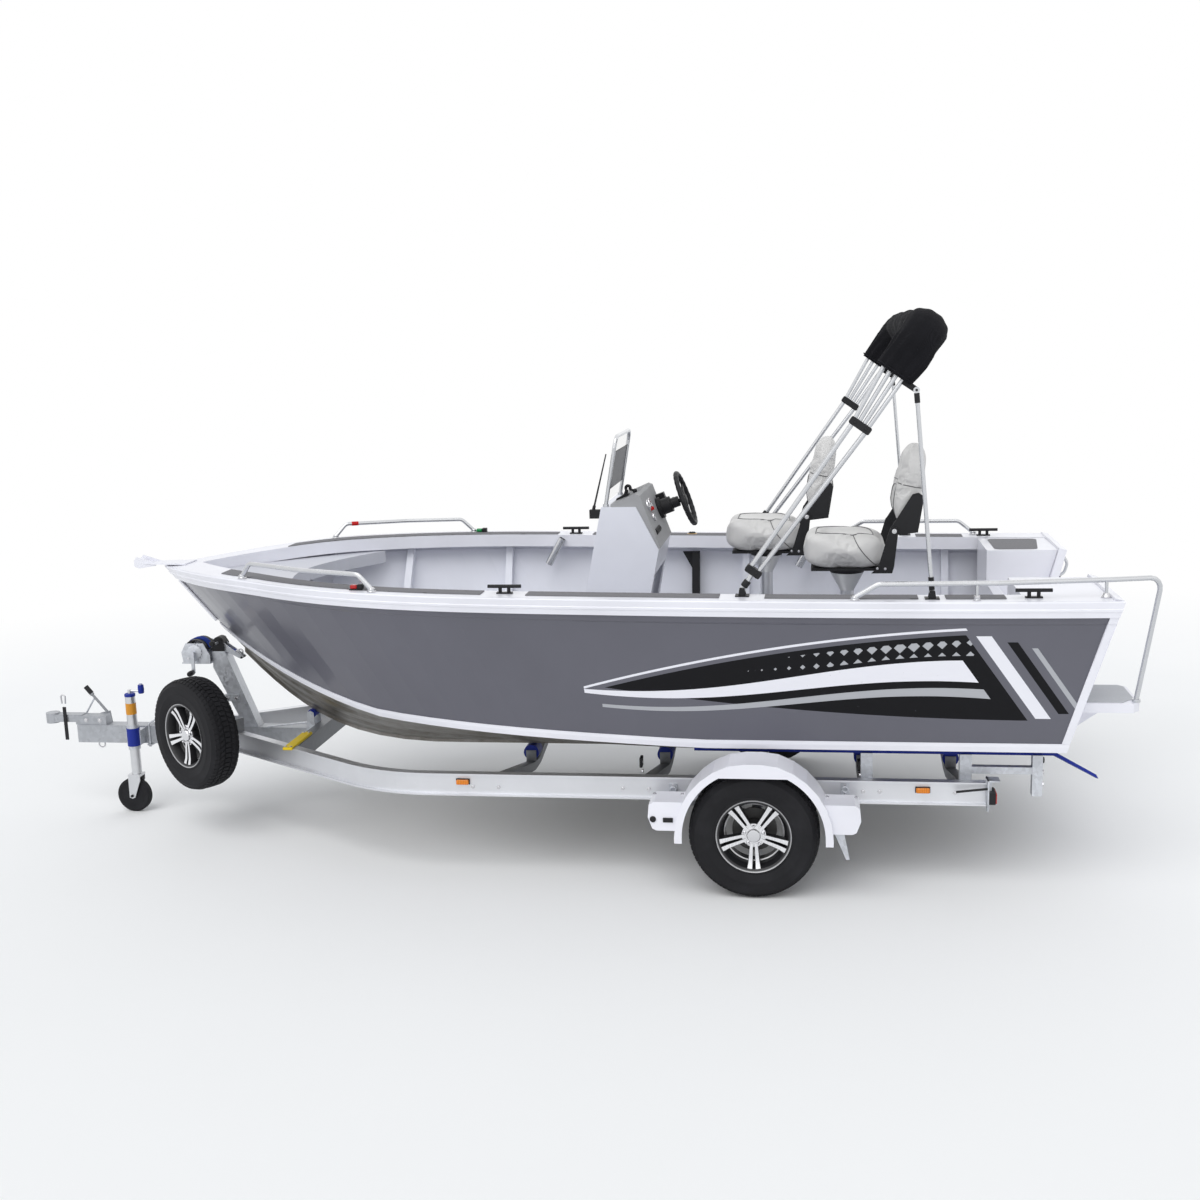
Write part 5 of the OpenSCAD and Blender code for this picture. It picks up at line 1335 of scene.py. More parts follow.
class BOAT_OT_canopy(bpy.types.Operator):
    """Makes the rolled canopy in its boot, and the extra bows and clamps of its frame"""
    bl_idname = "boat.canopy"
    bl_label = "Canopy"

    def execute(self, context):
        s = sizes()
        m = canopy_matrix()
        # the roll's middle line in even steps
        pts = [Vector((0.0, a, b)) for a, b in boot_path()]
        lengths = [0.0]
        for a, b in zip(pts, pts[1:]):
            lengths.append(lengths[-1] + (b - a).length)
        total, n, sides = lengths[-1], 190, 64
        roll, flat = 0.106, 0.80
        even = []
        for k in range(n + 1):
            d = total * k / n
            i = max(j for j in range(len(lengths) - 1) if lengths[j] <= d + 1e-9)
            f = (d - lengths[i]) / max(1e-9, lengths[i + 1] - lengths[i])
            even.append((pts[i].lerp(pts[i + 1], f), d))
        rng = random.Random(11)
        creases = [(rng.uniform(0, total), rng.uniform(0, 2 * math.pi), rng.uniform(0.03, 0.10),
                    rng.uniform(0.3, 1.1), rng.uniform(0.004, 0.012)) for _ in range(70)]
        bm = bmesh.new()
        rings = []
        for k, (p, d) in enumerate(even):
            a, b = even[max(0, k - 2)][0], even[min(n, k + 2)][0]
            t = (b - a).normalized()
            q = Vector((0.0, -t.z, t.y))
            end = min(d, total - d)
            mouth = 0.88 + 0.12 * min(1.0, end / 0.10)
            lean = 0.003 + 0.009 * max(0.0, 1.0 - end / 0.25)
            plump = 1.0 + 0.05 * math.sin(d * 7.0) + 0.03 * math.sin(d * 17.0 + 1.0)
            ring = []
            for j in range(sides):
                c = 2 * math.pi * j / sides
                r = roll * mouth * plump
                flute = 0.0045 * math.sin(11 * c + d * 9.0) * (1.0 if end < 0.16 else 0.4)
                dent = 0.0
                for at, ang, wide, arc, deep in creases:
                    dx = (d - at + 0.06 * math.sin(c - ang)) / wide
                    if abs(dx) < 2.5:
                        da = (c - ang + math.pi) % (2 * math.pi) - math.pi
                        dent += deep * math.exp(-dx * dx) * math.exp(-(da / arc) ** 2)
                rr = r + flute - dent
                point = p + Vector((lean + rr * math.cos(c), 0, 0)) + q * (rr * flat * math.sin(c))
                ring.append(bm.verts.new(point))
            rings.append(ring)
        skin(bm, rings, caps=False)
        for ring in (rings[0], rings[-1]):
            centre = sum((v.co for v in ring), Vector()) / sides
            inner = [bm.verts.new(centre.lerp(v.co, 0.62) + Vector((0, 0, 0.028))) for v in ring]
            for j in range(sides):
                i = (j + 1) % sides
                bm.faces.new((ring[j], inner[j], inner[i], ring[i]))
            bm.faces.new(inner)
        bm.transform(m)
        boot = piece("canopy_boot", bm, "bimini", boot_canvas(), replaces=("bimini_boot",),
                     smooth=60)
        # a hem at each mouth
        bm = bmesh.new()
        for ring_at in (1, n - 1):
            p = even[ring_at][0]
            hem = []
            for j in range(49):
                c, rr = 2 * math.pi * j / 48, 0.0951375
                hem.append(p + Vector((0.012 + rr * math.cos(c), rr * flat * math.sin(c), 0.0)))
            add_tube(bm, hem, s.seam_r, 8, caps=False)
        bm.transform(m)
        piece("canopy_boot_hems", bm, "bimini", finish_of("Boot binding", canvas, tinted(rgb("canvas"), 1.6)))

        # a foot tube, a splayed pair between the clamps and four tubes above them
        legs, black = bmesh.new(), bmesh.new()
        for side in (-1, 1):
            y = side * LEG_Y
            add_lathe(legs, [(0.017, -0.015), (0.017, 0.015)], Matrix.Translation((0, y, 0)) @ ON_SIDE, 24)
            for x0, z0, x1, z1, r in ((0.0, 0.010, 0.009, 0.125, 0.0125),
                                      (0.030, 0.092, 0.034, 0.985, 0.0122),
                                      (-0.012, 0.092, -0.042, 0.985, 0.0122),
                                      (0.034, 0.955, 0.074, 1.300, s.bow_r),
                                      (0.010, 0.955, 0.036, 1.300, s.bow_r),
                                      (-0.015, 0.955, -0.002, 1.300, s.bow_r),
                                      (-0.040, 0.955, -0.040, 1.300, s.bow_r)):
                add_tube(legs, [(x0, y, z0), (x1, y, z1)], r, 16)
            for z, x0, x1 in ((0.970, -0.060, 0.054), (0.107, -0.034, 0.050)):
                outline = []
                for cx, cz, a0 in ((x1 - 0.009, z + 0.010, 0), (x0 + 0.009, z + 0.010, 90),
                                   (x0 + 0.009, z - 0.010, 180), (x1 - 0.009, z - 0.010, 270)):
                    outline += [(cx + 0.009 * math.cos(math.radians(a0 + b)),
                                 cz + 0.009 * math.sin(math.radians(a0 + b))) for b in (0, 30, 60, 90)]
                add_prism(black, outline, y - 0.0205, y + 0.0205)
                for cx in (x0 + 0.026, x1 - 0.026):
                    add_hex(black, (cx, y + side * 0.0205, z), (0, side, 0), 0.006, 0.005)
            lug = [(-0.046, 1.234), (-0.118, 1.236), (-0.132, 1.250), (-0.118, 1.264), (-0.046, 1.266)]
            add_prism(black, lug, *sorted((y - side * 0.006, y + side * 0.0137)))
            add_rod(black, (-0.118, y, 1.250), (-0.118, y + side * 0.043, 1.250), 0.006, 12)
            add_lathe(black, [(0.0165, 0.018), (0.0185, 0.022), (0.0185, 0.050), (0.0165, 0.054)],
                      Matrix.Translation((0.003, y, 0.0)), 24)
        legs.transform(m)
        black.transform(m)
        piece("canopy_legs", legs, "bimini", bright_tube(), replaces=("bimini_frame",))
        piece("canopy_clamps", black, "bimini", black_plastic(), smooth=35)
        # end caps on the struts
        bm = bmesh.new()
        foot, top = spot(-855, 0, gunwale_z(-855) + 30), JOINTS["bimini_strut_swing"]
        for side in (-1, 1):
            a, b = Vector((foot.x, side * 1.085, foot.z)), Vector((top.x, side * 1.085, top.z))
            d = (b - a).normalized()
            add_rod(bm, a + d * 0.014, a + d * 0.075, 0.0135, 20)
            add_rod(bm, b - d * 0.060, b - d * 0.014, 0.0130, 20)
        piece("strut_ends", bm, "bimini_struts", black_plastic())
        return {"FINISHED"}


# ---- fittings on the boat ----

class BOAT_OT_console(bpy.types.Operator):
    """Fits gauges, switches, throttle, wheel grip, knob mount and aerial to the console"""
    bl_idname = "boat.console"
    bl_label = "Console"

    def execute(self, context):
        s = sizes()
        black, bright = black_plastic(), stainless()
        # the hood's after face: from (533,1630) to (639,1920), seen square on
        foot, head = spot(533, 0, 1630), spot(639, 0, 1920)
        up = (head - foot).normalized()
        out = Vector((-up.z, 0, up.x))

        def on_face(y, along):
            return foot + up * along + Vector((0, y, 0))

        def face_turn(p):
            side = Vector((0, 1, 0))
            return Matrix.Translation(p) @ Matrix((side.cross(out), side, out)).transposed().to_4x4()

        bm, glass, dark = bmesh.new(), bmesh.new(), bmesh.new()
        for y, along, r in ((0.085, 0.235, s.dial_r), (0.165, 0.235, s.dial_r),
                            (0.125, 0.160, s.dial_r * 0.8)):
            m = face_turn(on_face(y, along))
            add_lathe(bm, [(r, 0.0), (r, 0.006), (r * 0.96, 0.009), (r * 0.88, 0.009), (r * 0.86, 0.003),
                           (r * 0.86, 0.0)], m, 40, closed=True)
            add_lathe(dark, [(r * 0.87, 0.0), (r * 0.87, 0.003)], m, 40)
            for k in range(9):
                a = math.radians(-210 + 30 * k)
                q = m @ Matrix.Rotation(a, 4, "Z")
                add_box(glass, (r * 0.62, -0.0006, 0.003), (r * 0.78, 0.0006, 0.0035), q)
            q = m @ Matrix.Rotation(math.radians(-150), 4, "Z")
            add_box(glass, (-0.004, -0.0011, 0.0035), (r * 0.66, 0.0011, 0.0042), q)
        for k in range(6):
            q = face_turn(on_face(0.055 + 0.032 * k, 0.085))
            add_box(dark, (-0.017, -0.011, 0.0), (0.017, 0.011, 0.005), q)
            add_box(dark, (-0.010, -0.007, 0.005), (0.008, 0.007, 0.0095),
                    q @ Matrix.Rotation(math.radians(8), 4, "Y"))
        piece("gauge_bezels", bm, TRAILER, bright, smooth=30)
        piece("gauge_faces", dark, TRAILER, black, smooth=30, bevel=0.0012)
        piece("gauge_marks", glass, TRAILER, finish_of("Gauge marks", plastic, (0.8, 0.8, 0.78)),
              smooth=0)
        # throttle box and lever on the starboard edge of the hood
        bm = bmesh.new()
        q = face_turn(on_face(-0.265, 0.20))
        add_box(bm, (-0.045, -0.028, 0.0), (0.045, 0.028, 0.050), q)
        q2 = q @ Matrix.Translation((0, 0, 0.045)) @ Matrix.Rotation(math.radians(-25), 4, "Y")
        add_lathe(bm, [(0.020, -0.008), (0.020, 0.012)], q2 @ ON_SIDE @ Matrix.Translation((0, 0, -0.03)), 24)
        add_box(bm, (-0.009, 0.022, 0.0), (0.009, 0.032, 0.042), q2)
        add_lathe(bm, [(0.012, -0.030), (0.016, -0.020), (0.016, 0.030), (0.012, 0.040)],
                  q2 @ Matrix.Translation((0, 0.020, 0.046)) @ ON_SIDE, 20)
        piece("throttle", bm, TRAILER, black, smooth=35, bevel=0.0025)
        # steering wheel: a rim with finger notches, three spokes and a hub
        m = Matrix.Translation(JOINTS["helm_turn"]) @ Matrix.Rotation(math.radians(-70), 4, "Y")
        bm = bmesh.new()
        n, sides = 180, 20
        rings = []
        for k in range(n):
            a = 2 * math.pi * k / n
            r = 0.0142 + 0.0007 * math.cos(24 * a)
            c = Vector((0.151 * math.cos(a), 0.151 * math.sin(a), 0.0))
            o = Vector((math.cos(a), math.sin(a), 0.0))
            turns = [2 * math.pi * j / sides for j in range(sides)]
            rings.append([bm.verts.new(c + o * r * math.cos(b) + Vector((0, 0, r * math.sin(b))))
                          for b in turns])
        skin(bm, rings, loop=True)
        for k in range(3):
            q = Matrix.Rotation(math.radians(60 + 120 * k), 4, "Z")
            rows = []
            for r, wide, top, low in ((0.022, 0.019, 0.004, -0.012), (0.060, 0.015, -0.001, -0.013),
                                      (0.105, 0.013, -0.002, -0.012), (0.140, 0.016, 0.001, -0.011)):
                rows.append([q @ Vector(p) for p in (
                    (r, -wide, low), (r, -wide, top - 0.003), (r, -wide * 0.7, top),
                    (r, wide * 0.7, top), (r, wide, top - 0.003), (r, wide, low))])
            add_loft(bm, rows)
        add_lathe(bm, [(0.012, -0.104), (0.012, -0.034), (0.036, -0.030), (0.038, -0.006), (0.034, 0.004),
                       (0.022, 0.008)], None, 40)
        bm.transform(m)
        piece("wheel_grip", bm, "steering_wheel", finish_of("Wheel grip", rubber, rgb("black"), 0.5),
              replaces=("steering_wheel",))
        # a kill switch on the hood and a bright sleeve where the column leaves it
        bm = bmesh.new()
        add_lathe(bm, [(0.013, 0.0), (0.013, 0.004), (0.0105, 0.006), (0.0105, 0.016), (0.008, 0.018)],
                  face_turn(on_face(0.100, 0.205)), 24)
        piece("kill_switch", bm, TRAILER, red_plastic(), smooth=35)
        bm = bmesh.new()
        add_lathe(bm, [(0.021, -0.104), (0.021, -0.090), (0.0165, -0.084), (0.0165, -0.068)], m, 32)
        piece("column_sleeve", bm, TRAILER, bright, smooth=35)
        # a hooked knob mount on the hood and a short whip ahead of the screen
        bm = bmesh.new()
        add_prism(bm, seen((720, 1890), (791, 1868), (791, 1886), (768, 1897), (744, 1914), (722, 1914)),
                  0.094, 0.146)
        hub, knob = spot(726, 120, 1943), spot(688, 120, 1926)
        add_tube(bm, arc(hub, 0.0125, -45, 240), 0.0088, 12)
        add_rod(bm, spot(744, 120, 1900), hub + Vector((0.006, 0, -0.008)), 0.010)
        add_rod(bm, knob, hub + Vector((-0.008, 0, -0.006)), 0.007)
        add_lathe(bm, [(0.003, -0.0135), (0.011, -0.009), (0.0135, 0.0), (0.011, 0.009), (0.003, 0.0135)],
                  Matrix.Translation(knob), 24)
        piece("mount_fork", bm, TRAILER, black, bevel=0.0015)
        bm = bmesh.new()
        block(bm, (830, 278, 1798), (917, 314, 1846))
        foot, tip = spot(899, 296, 1833), spot(818, 296, 2148)
        add_tube(bm, [foot, foot.lerp(tip, 0.10), foot.lerp(tip, 0.12), tip], [0.010, 0.009, 0.0055, 0.0035],
                 10)
        piece("aerial", bm, TRAILER, black, bevel=0.002)
        return {"FINISHED"}


class BOAT_OT_deck(bpy.types.Operator):
    """Fits rail feet, side lights, filler, pads, liner post and grab loop on the hull"""
    bl_idname = "boat.deck"
    bl_label = "Deck fittings"

    def execute(self, context):
        black = black_plastic()
        bright = stainless()
        # rail feet: turned bases with their screws
        bm = bmesh.new()
        for x, inset, side in ((2750, 34, 1), (1920, 34, 1), (-490, 34, 1), (-1060, 34, 1), (-1662, 92, 1),
                               (2750, 34, -1), (1920, 34, -1), (-490, 34, -1), (-1275, 34, -1)):
            p = deck_point(x, inset, 0.8)
            p.y *= side
            r = 0.018 if x == -1060 else 0.024
            add_lathe(bm, [(r, 0.0), (r, 0.003), (r * 0.82, 0.007), (0.0150, 0.0165), (0.0138, 0.0215)],
                      Matrix.Translation(p), 30)
            for k in range(3):
                a = 2 * math.pi * k / 3
                add_lathe(bm, [(0.003, 0.003), (0.0024, 0.0052)],
                          Matrix.Translation(p + Vector((r * 0.82 * math.cos(a), r * 0.82 * math.sin(a),
                                                         0.001))), 8)
        piece("rail_feet", bm, TRAILER, bright, smooth=35)
        # red tape on the starboard bow rail, and the side lights
        bm = bmesh.new()
        high, low = mirrored(deck_point(2690, 34, 85.7)), mirrored(deck_point(2340, 30, 85.7))
        add_tube(bm, [high.lerp(low, 0.09), high.lerp(low, 0.20)], 0.0136, 16)
        piece("rail_tape", bm, TRAILER, red_plastic())
        hoods = bmesh.new()
        for name, x, side, colour in (("port", 2020, 1, (0.5, 0.01, 0.01)),
                                      ("starboard", 1870, -1, (0.01, 0.30, 0.08))):
            p = deck_point(x, 60, 0.5)
            p.y *= side
            add_box(hoods, p + Vector((-0.042, -0.018, 0.0)), p + Vector((0.030, 0.018, 0.006)))
            add_box(hoods, p + Vector((-0.042, -0.016, 0.006)), p + Vector((-0.012, 0.016, 0.030)))
            bm = bmesh.new()
            add_box(bm, p + Vector((-0.011, -0.015, 0.006)), p + Vector((0.026, 0.015, 0.027)))
            piece("side_light_" + name, bm, TRAILER, finish_of("Side light " + name, shiny_lens, colour),
                  smooth=35, bevel=0.006, segments=3)
        piece("side_light_hoods", hoods, TRAILER, black, smooth=35, bevel=0.003)
        # fuel filler on the starboard deck
        bm = bmesh.new()
        p = mirrored(deck_point(482, 100, 0.5))
        add_lathe(bm, [(0.034, 0.0), (0.034, 0.004), (0.029, 0.007), (0.024, 0.007), (0.024, 0.004)],
                  Matrix.Translation(p), 36)
        piece("filler_ring", bm, TRAILER, finish_of("Brass ring", polished, (0.45, 0.30, 0.12), 0.3),
              smooth=35)
        bm = bmesh.new()
        add_lathe(bm, [(0.0235, 0.004), (0.0235, 0.010), (0.021, 0.012)], Matrix.Translation(p), 36)
        for k in range(4):
            add_box(bm, (-0.019, -0.0025, 0.012), (0.019, 0.0025, 0.015), Matrix.Translation(p)
                    @ Matrix.Rotation(math.radians(45 * k), 4, "Z"))
        piece("filler_cap", bm, TRAILER, black, smooth=30)
        # a black post with its gusset on the starboard liner; its black is painted shade, standing for the shaded side
        # of a liner rib
        bm = bmesh.new()
        add_loft(bm, [[spot(x, -y, z) for x, y in ((434, w), (484, w), (484, w - 34), (434, w - 34))] for z,
                      w in ((850, 1012), (1130, 1058), (1400, 1108))])
        add_loft(bm, [[spot(x, -y, z) for x, z in ((484, 1290), (484, 1400), (544, 1400))]
                      for y in (1082, 1100)])
        piece("liner_post", bm, TRAILER, black, smooth=30, bevel=0.002)
        # non-slip pad on the starboard quarter
        corners = [Vector(c) for c in ((-1.335, -0.50, 0), (-1.335, -0.90, 0), (-1.625, -0.90, 0),
                                       (-1.575, -0.50, 0), (-1.335, -0.50, 0))]
        ring = smooth_path([corners[0].lerp(corners[1], 0.5)] + corners[1:]
                           + [corners[0].lerp(corners[1], 0.5)], 0.035)[:-1]
        bm = bmesh.new()
        add_prism(bm, [(p.x + AXLE_X, p.y) for p in ring], 1.4883, 1.4915, "z")
        piece("quarter_pad", bm, TRAILER, finish_of("Quarter pad", pad_foam, tinted(rgb("pad_gray"), 1.1)),
              smooth=30)
        # welded wedge that closes the bottom plates' fore end under the stem
        bm = bmesh.new()
        keel, port, starboard, tip = (bm.verts.new(spot(*p))
                                      for p in ((3086, 0, 988), (3050, 126, 1064), (3050, -126, 1064),
                                                (3203, 0, 1112)))
        for face in ((keel, port, tip), (keel, tip, starboard), (keel, starboard, port),
                     (port, starboard, tip)):
            bm.faces.new(face)
        piece("stem_wedge", bm, TRAILER, bottom_plate(), smooth=20, bevel=0.002)
        # grab loop on the transom, and pads on the swim steps
        bm = bmesh.new()
        add_tube(bm, smooth_path([spot(-1704, -750, 1447), spot(-1752, -750, 1425), spot(-1786, -750, 1364),
                                  spot(-1770, -750, 1310), spot(-1736, -750, 1284)], 0.040), 0.009, 14)
        piece("grab_loop", bm, TRAILER, bright_tube())
        bm = bmesh.new()
        add_rod(bm, spot(-1742, -750, 1288), spot(-1726, -750, 1268), 0.0125)
        add_rod(bm, spot(-1712, -750, 1444), spot(-1694, -750, 1452), 0.0125)
        piece("grab_loop_ends", bm, TRAILER, black)
        pads = bmesh.new()
        for side in (-1, 1):
            outline = ((-1602, 580), (-1602, 925), (-1780, 925), (-1815, 880), (-1845, 868), (-1845, 612),
                       (-1822, 580))
            add_prism(pads, [(spot(x).x, side * y / 1000.0) for x, y in outline], 0.9479, 0.9508, "z")
        piece("step_pads", pads, TRAILER, finish_of("Step pads", pad_foam, (0.55, 0.56, 0.58)),
              smooth=30)
        return {"FINISHED"}


class BOAT_OT_trailer(bpy.types.Operator):
    """Fits bolts, markers, lamps, spring clamps, flap stays and guide pads on the trailer"""
    bl_idname = "boat.trailer"
    bl_label = "Trailer fittings"

    def execute(self, context):
        s = sizes()
        lens, black, plates, bolts, red, yellow = (bmesh.new() for _ in range(6))
        for side in (-1, 1):
            def at(x, y, z):
                return spot(x, side * y, z)
            def slab(bm, x0, x1, y0, y1, z0, z1):
                block(bm, (x0, side * y0, z0), (x1, side * y1, z1))
            # amber markers on the side rails
            for x in (-832, 1530):
                slab(black, x - 37, x + 37, 954, 960, 482, 514)
                slab(lens, x - 33, x + 33, 960, 978, 485, 511)
            # bolts, tie-down eyes and the spring hangers' nuts on the rails
            for x, z in ((1478, 470), (1340, 470), (682, 476), (547, 476), (-538, 484), (-620, 484),
                         (-990, 486)):
                add_hex(bolts, at(x, 954, z), (0, side, 0), s.bolt_r, s.bolt_r * 0.8)
            for x, z in ((420, 479), (-449, 496)):
                slab(plates, x - 22, x + 22, 954, 960, z - 30, z + 30)
                add_tube(plates, arc(at(x, 970, z), 0.014, 0, 360), 0.004, 8)
                for dz in (-21, 21):
                    add_hex(bolts, at(x, 960, z + dz), (0, side, 0), 0.005, 0.004)
            # rubber blocks beside the skid posts, and bolts through the posts
            for x in (-560, 560):
                slab(black, x + 32, x + 46, 795, 855, 556, 608)
                for z in (470, 520):
                    add_hex(bolts, at(x + 30.5, 825, z + 60), (1, 0, 0), 0.0085, 0.007)
            # spring clamps on the axle
            slab(plates, -52, 52, 912, 988, 290, 299)
            for x in (-36, 36):
                add_tube(plates, smooth_path([at(x, 917, 286), at(x, 917, 366), at(x, 983, 366),
                                              at(x, 983, 286)], 0.008), 0.0055, 8)
                for y in (917, 983):
                    add_hex(bolts, at(x, y, 290), (0, 0, -1), 0.008, 0.008)
            # mudguards: reflector, round marker, flap stay and the bolts of the steps
            slab(black, 396, 446, 1230, 1236, 396, 420)
            add_lathe(black, [(0.016, 0.0), (0.016, 0.005), (0.011, 0.008)],
                      turned(at(496, 1230, 411), (0, side, 0)), 24)
            add_loft(plates, [[at(x, y, z) for x, y in ((a, 1196), (b, 1196), (b, 1200), (a, 1200))] for z, a,
                              b in ((352, -440, -392), (212, -468, -450))])
            for x in (-500, -360, 360, 500):
                add_hex(bolts, at(x, 1100, 500), (0, 0, 1), 0.007, 0.005)
            # rear end: pointed plate, lamp and its lever
            add_prism(plates, [(side * y / 1000.0, z / 1000.0) for y,
                               z in ((905, 560), (1000, 560), (1000, 440), (952, 390), (905, 430))],
                      spot(-1150).x, spot(-1142).x, "x")
            slab(plates, -1203, -1142, 915, 990, 553, 560)
            add_prism(plates, seen((-1136, 560), (-1168, 560), (-1162, 450), (-1151, 384), (-1140, 450)),
                      *sorted((side * 0.958, side * 0.966)))
            slab(black, -1182, -1150, 903, 1000, 440, 502)
            slab(red, -1188, -1182, 907, 996, 444, 498)
            add_rod(black, at(-991, 990, 501), at(-1145, 990, 520), 0.006)
            add_hex(bolts, at(-1425, 825, 560), (-1, 0, 0), 0.012, 0.009)
            add_hex(bolts, at(-1425, 825, 497), (-1, 0, 0), 0.012, 0.009)
            add_lathe(black, [(0.017, 0.0), (0.017, 0.007), (0.012, 0.010)],
                      turned(at(-1425, 825, 623), (-1, 0, 0)), 24)
            # guide pads on the fore beam
            slab(yellow, 2612, 2668, 250, 580, 537.5, 553)
            for x in (2625, 2655):
                for y in (270, 560):
                    add_hex(bolts, at(x, y, 553), (0, 0, 1), 0.006, 0.004)
        piece("trailer_black", black, TRAILER, black_plastic(), smooth=30, bevel=0.002)
        piece("marker_lenses", lens, TRAILER, finish_of("Amber lens", shiny_lens, rgb("amber")), smooth=30,
              bevel=0.005, segments=3)
        piece("rear_lenses", red, TRAILER, finish_of("Red lens", shiny_lens, rgb("red")), smooth=30,
              bevel=0.005, segments=3)
        piece("trailer_plates", plates, TRAILER, zinc(), smooth=35, bevel=0.001)
        piece("trailer_bolts", bolts, TRAILER, stainless(), smooth=30)
        piece("guide_pads", yellow, TRAILER, finish_of("Yellow pad", plastic, rgb("yellow"), 0.5), smooth=30,
              bevel=0.003)
        return {"FINISHED"}


class BOAT_OT_drawbar(bpy.types.Operator):
    """Fits the winch strap, bow roller, coupler parts and the jockey's caps"""
    bl_idname = "boat.drawbar"
    bl_label = "Drawbar fittings"

    def execute(self, context):
        s = sizes()
        black, blue, metal, strap, bright = (bmesh.new() for _ in range(5))
        # keel roller ahead of the fore beam
        for y0, y1 in ((-56, -50), (50, 56)):
            lo, hi = sorted((y0 / 1000.0, y1 / 1000.0))
            add_prism(metal, seen((2668, 506), (2724, 506), (2712, 616), (2690, 624), (2672, 612)), lo, hi)
        add_lathe(blue, [(0.010, -0.048), (0.024, -0.046), (0.027, -0.030), (0.023, 0.0), (0.027, 0.030),
                         (0.024, 0.046), (0.010, 0.048)],
                  turned(spot(2690, 0, 604), ACROSS), 36)
        add_rod(metal, spot(2690, -62, 604), spot(2690, 62, 604), 0.007)
        add_rod(metal, spot(2974, 48, 520), spot(2713, 50, 554), 0.006)
        # clamp on the winch post, roller sleeve and its knob
        block(metal, (3140, -47, 677), (3226, 47, 720))
        for y, side in ((47, 1), (-47, -1)):
            for x in (3156, 3210):
                add_hex(bright, spot(x, y, 698), (0, side, 0), 0.009, 0.007)
        add_lathe(black, [(0.026, -0.0325), (0.0335, -0.030), (0.0335, 0.030), (0.026, 0.0325)],
                  turned(spot(3250, 0, 1038), ACROSS), 40)
        add_rod(metal, spot(3250, -46, 1038), spot(3250, 100, 1038), 0.007)
        add_lathe(black, [(0.010, 0.0), (0.018, 0.004), (0.018, 0.018), (0.012, 0.024)],
                  turned(spot(3253, 98, 1046), ACROSS), 24)
        # strap on the drum and out to the bow eye, with its hook
        drum = spot(3385, 0, 985)
        half = s.strap_w / 2
        rim = [(0.0325, -half), (0.0395, -half)]
        for k in range(8):
            rim += [(0.0395 + (0.0008 if k % 2 else 0.0), -half + s.strap_w * (k + 0.5) / 8)]
        rim += [(0.0395, half), (0.0325, half)]
        add_lathe(strap, rim, turned(drum, ACROSS), 48, closed=True)
        add_strap(strap, [spot(3372, 0, 1023), spot(3330, 0, 1014), spot(3262, 0, 1002.5),
                          spot(3240, 0, 1001), spot(3146, 0, 981)], s.strap_w * 0.94, 0.0024)
        add_tube(bright, arc(spot(3126, 0, 975), 0.015, 0, 360), 0.0045, 10)
        add_strap(black, arc(drum, 0.072, 10, 170, 10), 0.130, 0.006)
        add_strap(strap, arc(drum, 0.0775, 30, 165, 9), s.strap_w, 0.004)
        for y in (-0.026, 0.020):
            add_prism(metal, seen((3238, 1046), (3266, 1012), (3118, 936), (3100, 946)), y, y + 0.006)
        add_rod(black, spot(3112, -27, 944), spot(3112, 27, 944), 0.007)
        add_tube(bright, [spot(3150, -20, 981), spot(3150, 20, 981)], 0.005, 10)
        add_tube(bright, [spot(3150, 0, 981), spot(3141, 0, 978)], 0.006, 10)
        # winch: ratchet wheel, cross bar and a black sleeve on the handle
        ratchet = turned(spot(3385, 76, 985), ACROSS)
        add_lathe(metal, [(0.030, 0.0), (0.046, 0.0), (0.046, 0.006), (0.030, 0.010)], ratchet, 24)
        for k in range(16):
            tooth = ratchet @ Matrix.Rotation(math.radians(22.5 * k), 4, "Z")
            add_box(metal, (0.044, -0.005, 0.0), (0.052, 0.002, 0.005), tooth)
        add_rod(bright, spot(3425, -76, 950), spot(3425, 80, 950), 0.008)
        add_lathe(black, [(0.012, 0.0), (0.0155, 0.006), (0.0165, 0.030), (0.0155, 0.052), (0.012, 0.060)],
                  turned(spot(3385, 117, 873), ACROSS), 24)
        # coupler: latch ring, upright bar, shackle and the brake's rod and grip
        add_tube(bright, smooth_path([spot(4300, 0, 640), spot(4296, 0, 694), spot(4326, 0, 694),
                                      spot(4322, 0, 640)], 0.014), 0.0055, 10)
        block(black, (4276, 36, 420), (4296, 44, 628))
        add_tube(bright, arc(spot(4080, 0, 384), 0.020, 0, 360), 0.005, 10)
        block(metal, (4066, -8, 396), (4094, 8, 407))
        add_rod(black, spot(4146, -50, 694), spot(4181, -50, 737), 0.0150)
        add_rod(metal, spot(4130, -50, 664), spot(4197, -50, 560), 0.0055)
        for x in (3735, 3865):
            add_tube(metal, smooth_path([spot(x, -50, 388), spot(x, -50, 532), spot(x, 50, 532),
                                         spot(x, 50, 388)], 0.010), 0.006, 10)
            block(metal, (x - 16, -58, 396), (x + 16, 58, 404))
            for y in (-50, 50):
                add_hex(bright, spot(x, y, 396), (0, 0, -1), 0.009, 0.009)
        # bolts of the coupler on the drawbar
        for x in (4060, 4150):
            for side in (-1, 1):
                add_hex(bright, spot(x, side * 38, 545), (0, side, 0), 0.010, 0.008)
        # half band on the jockey's clamp
        add_lathe(blue, [(0.0362, 0.0), (0.0385, 0.0), (0.0385, 0.110), (0.0362, 0.110)],
                  stood(JOCKEY_X, JOCKEY_Y, 417), 40, closed=True)
        for bm, name, mat, slot in ((black, "drawbar_black", black_plastic(), "black_plastic"),
                                    (blue, "drawbar_blue", blue_rubber(), "blue_rubber"),
                                    (metal, "drawbar_metal", zinc(), "galvanised"),
                                    (strap, "winch_strap", finish_of("Blue webbing", canvas,
                                                                     (0.02, 0.05, 0.30)), None),
                                    (bright, "drawbar_bright", stainless(), "stainless")):
            piece(name, bm, TRAILER, mat, smooth=35)
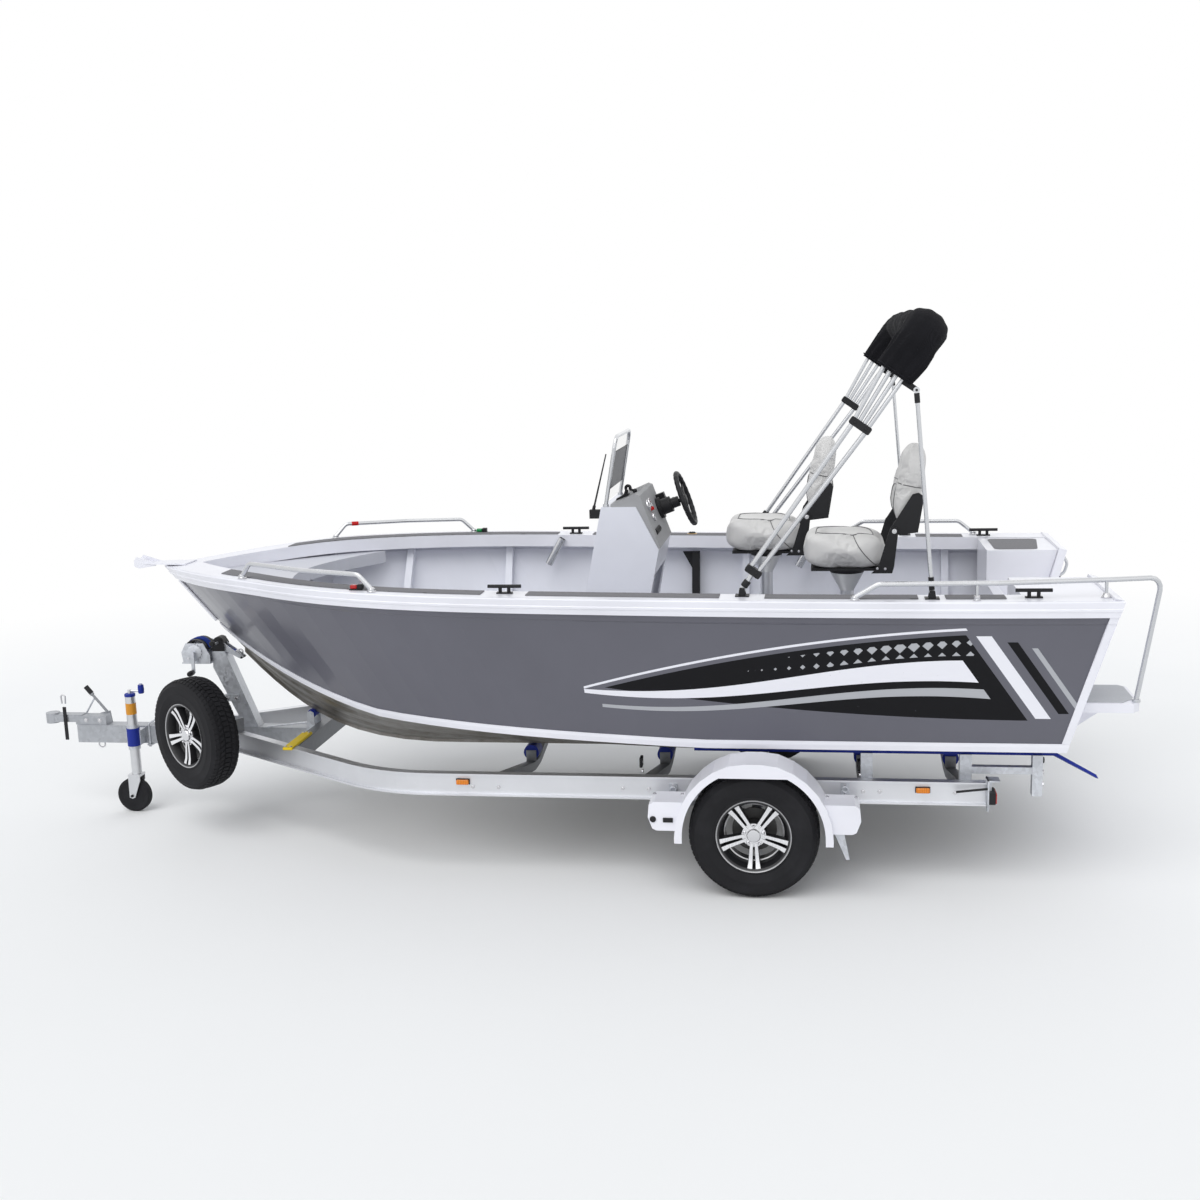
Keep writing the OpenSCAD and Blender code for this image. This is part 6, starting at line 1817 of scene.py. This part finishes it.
        # caps that ride on the jockey's leg
        bm = bmesh.new()
        add_lathe(bm, [(0.0150, 0.0), (0.0175, 0.005), (0.0185, 0.030), (0.0165, 0.052), (0.010, 0.058)],
                  stood(JOCKEY_X - 75, JOCKEY_Y, 743), 28)
        add_lathe(bm, [(0.0312, 0.0), (0.0322, 0.003), (0.0322, 0.014), (0.028, 0.018)],
                  stood(JOCKEY_X, JOCKEY_Y, 724), 36)
        piece("jockey_caps", bm, "jockey_leg", blue_rubber(), smooth=35)
        bm = bmesh.new()
        add_lathe(bm, [(0.0302, 0.0), (0.0310, 0.0), (0.0310, 0.069), (0.0302, 0.069)], stood(JOCKEY_X, JOCKEY_Y, 614),
                  36, closed=True)
        piece("jockey_band", bm, "jockey_leg", finish_of("Amber tape", plastic, (0.65, 0.28, 0.03), 0.4),
              smooth=35)
        return {"FINISHED"}


class BOAT_PT_panel(bpy.types.Panel):
    """The boat's pieces and their sizes and colours"""
    bl_label = "Boat"
    bl_idname = "BOAT_PT_panel"
    bl_space_type = "VIEW_3D"
    bl_region_type = "UI"
    bl_category = "Boat"

    def draw(self, context):
        for cls in OPERATORS:
            self.layout.operator(cls.bl_idname)
        for title, group in (("Sizes", context.scene.boat_sizes), ("Colours", context.scene.boat_colours)):
            box = self.layout.box()
            box.label(text=title)
            for key in group.__annotations__:
                box.prop(group, key)


OPERATORS = (BOAT_OT_stage, BOAT_OT_finishes, BOAT_OT_graphic, BOAT_OT_wheels, BOAT_OT_seats, BOAT_OT_canopy,
             BOAT_OT_console, BOAT_OT_deck, BOAT_OT_trailer, BOAT_OT_drawbar)
CLASSES = (BoatColours, BoatSizes) + OPERATORS + (BOAT_PT_panel,)


def register():
    for cls in CLASSES:
        bpy.utils.register_class(cls)
    bpy.types.Scene.boat_colours = PointerProperty(type=BoatColours)
    bpy.types.Scene.boat_sizes = PointerProperty(type=BoatSizes)


def unregister():
    del bpy.types.Scene.boat_sizes
    del bpy.types.Scene.boat_colours
    for cls in reversed(CLASSES):
        bpy.utils.unregister_class(cls)


def main():
    register()
    for cls in OPERATORS:
        group, name = cls.bl_idname.split(".")
        getattr(getattr(bpy.ops, group), name)()
    bpy.context.view_layer.update()


if __name__ == "__main__":
    main()
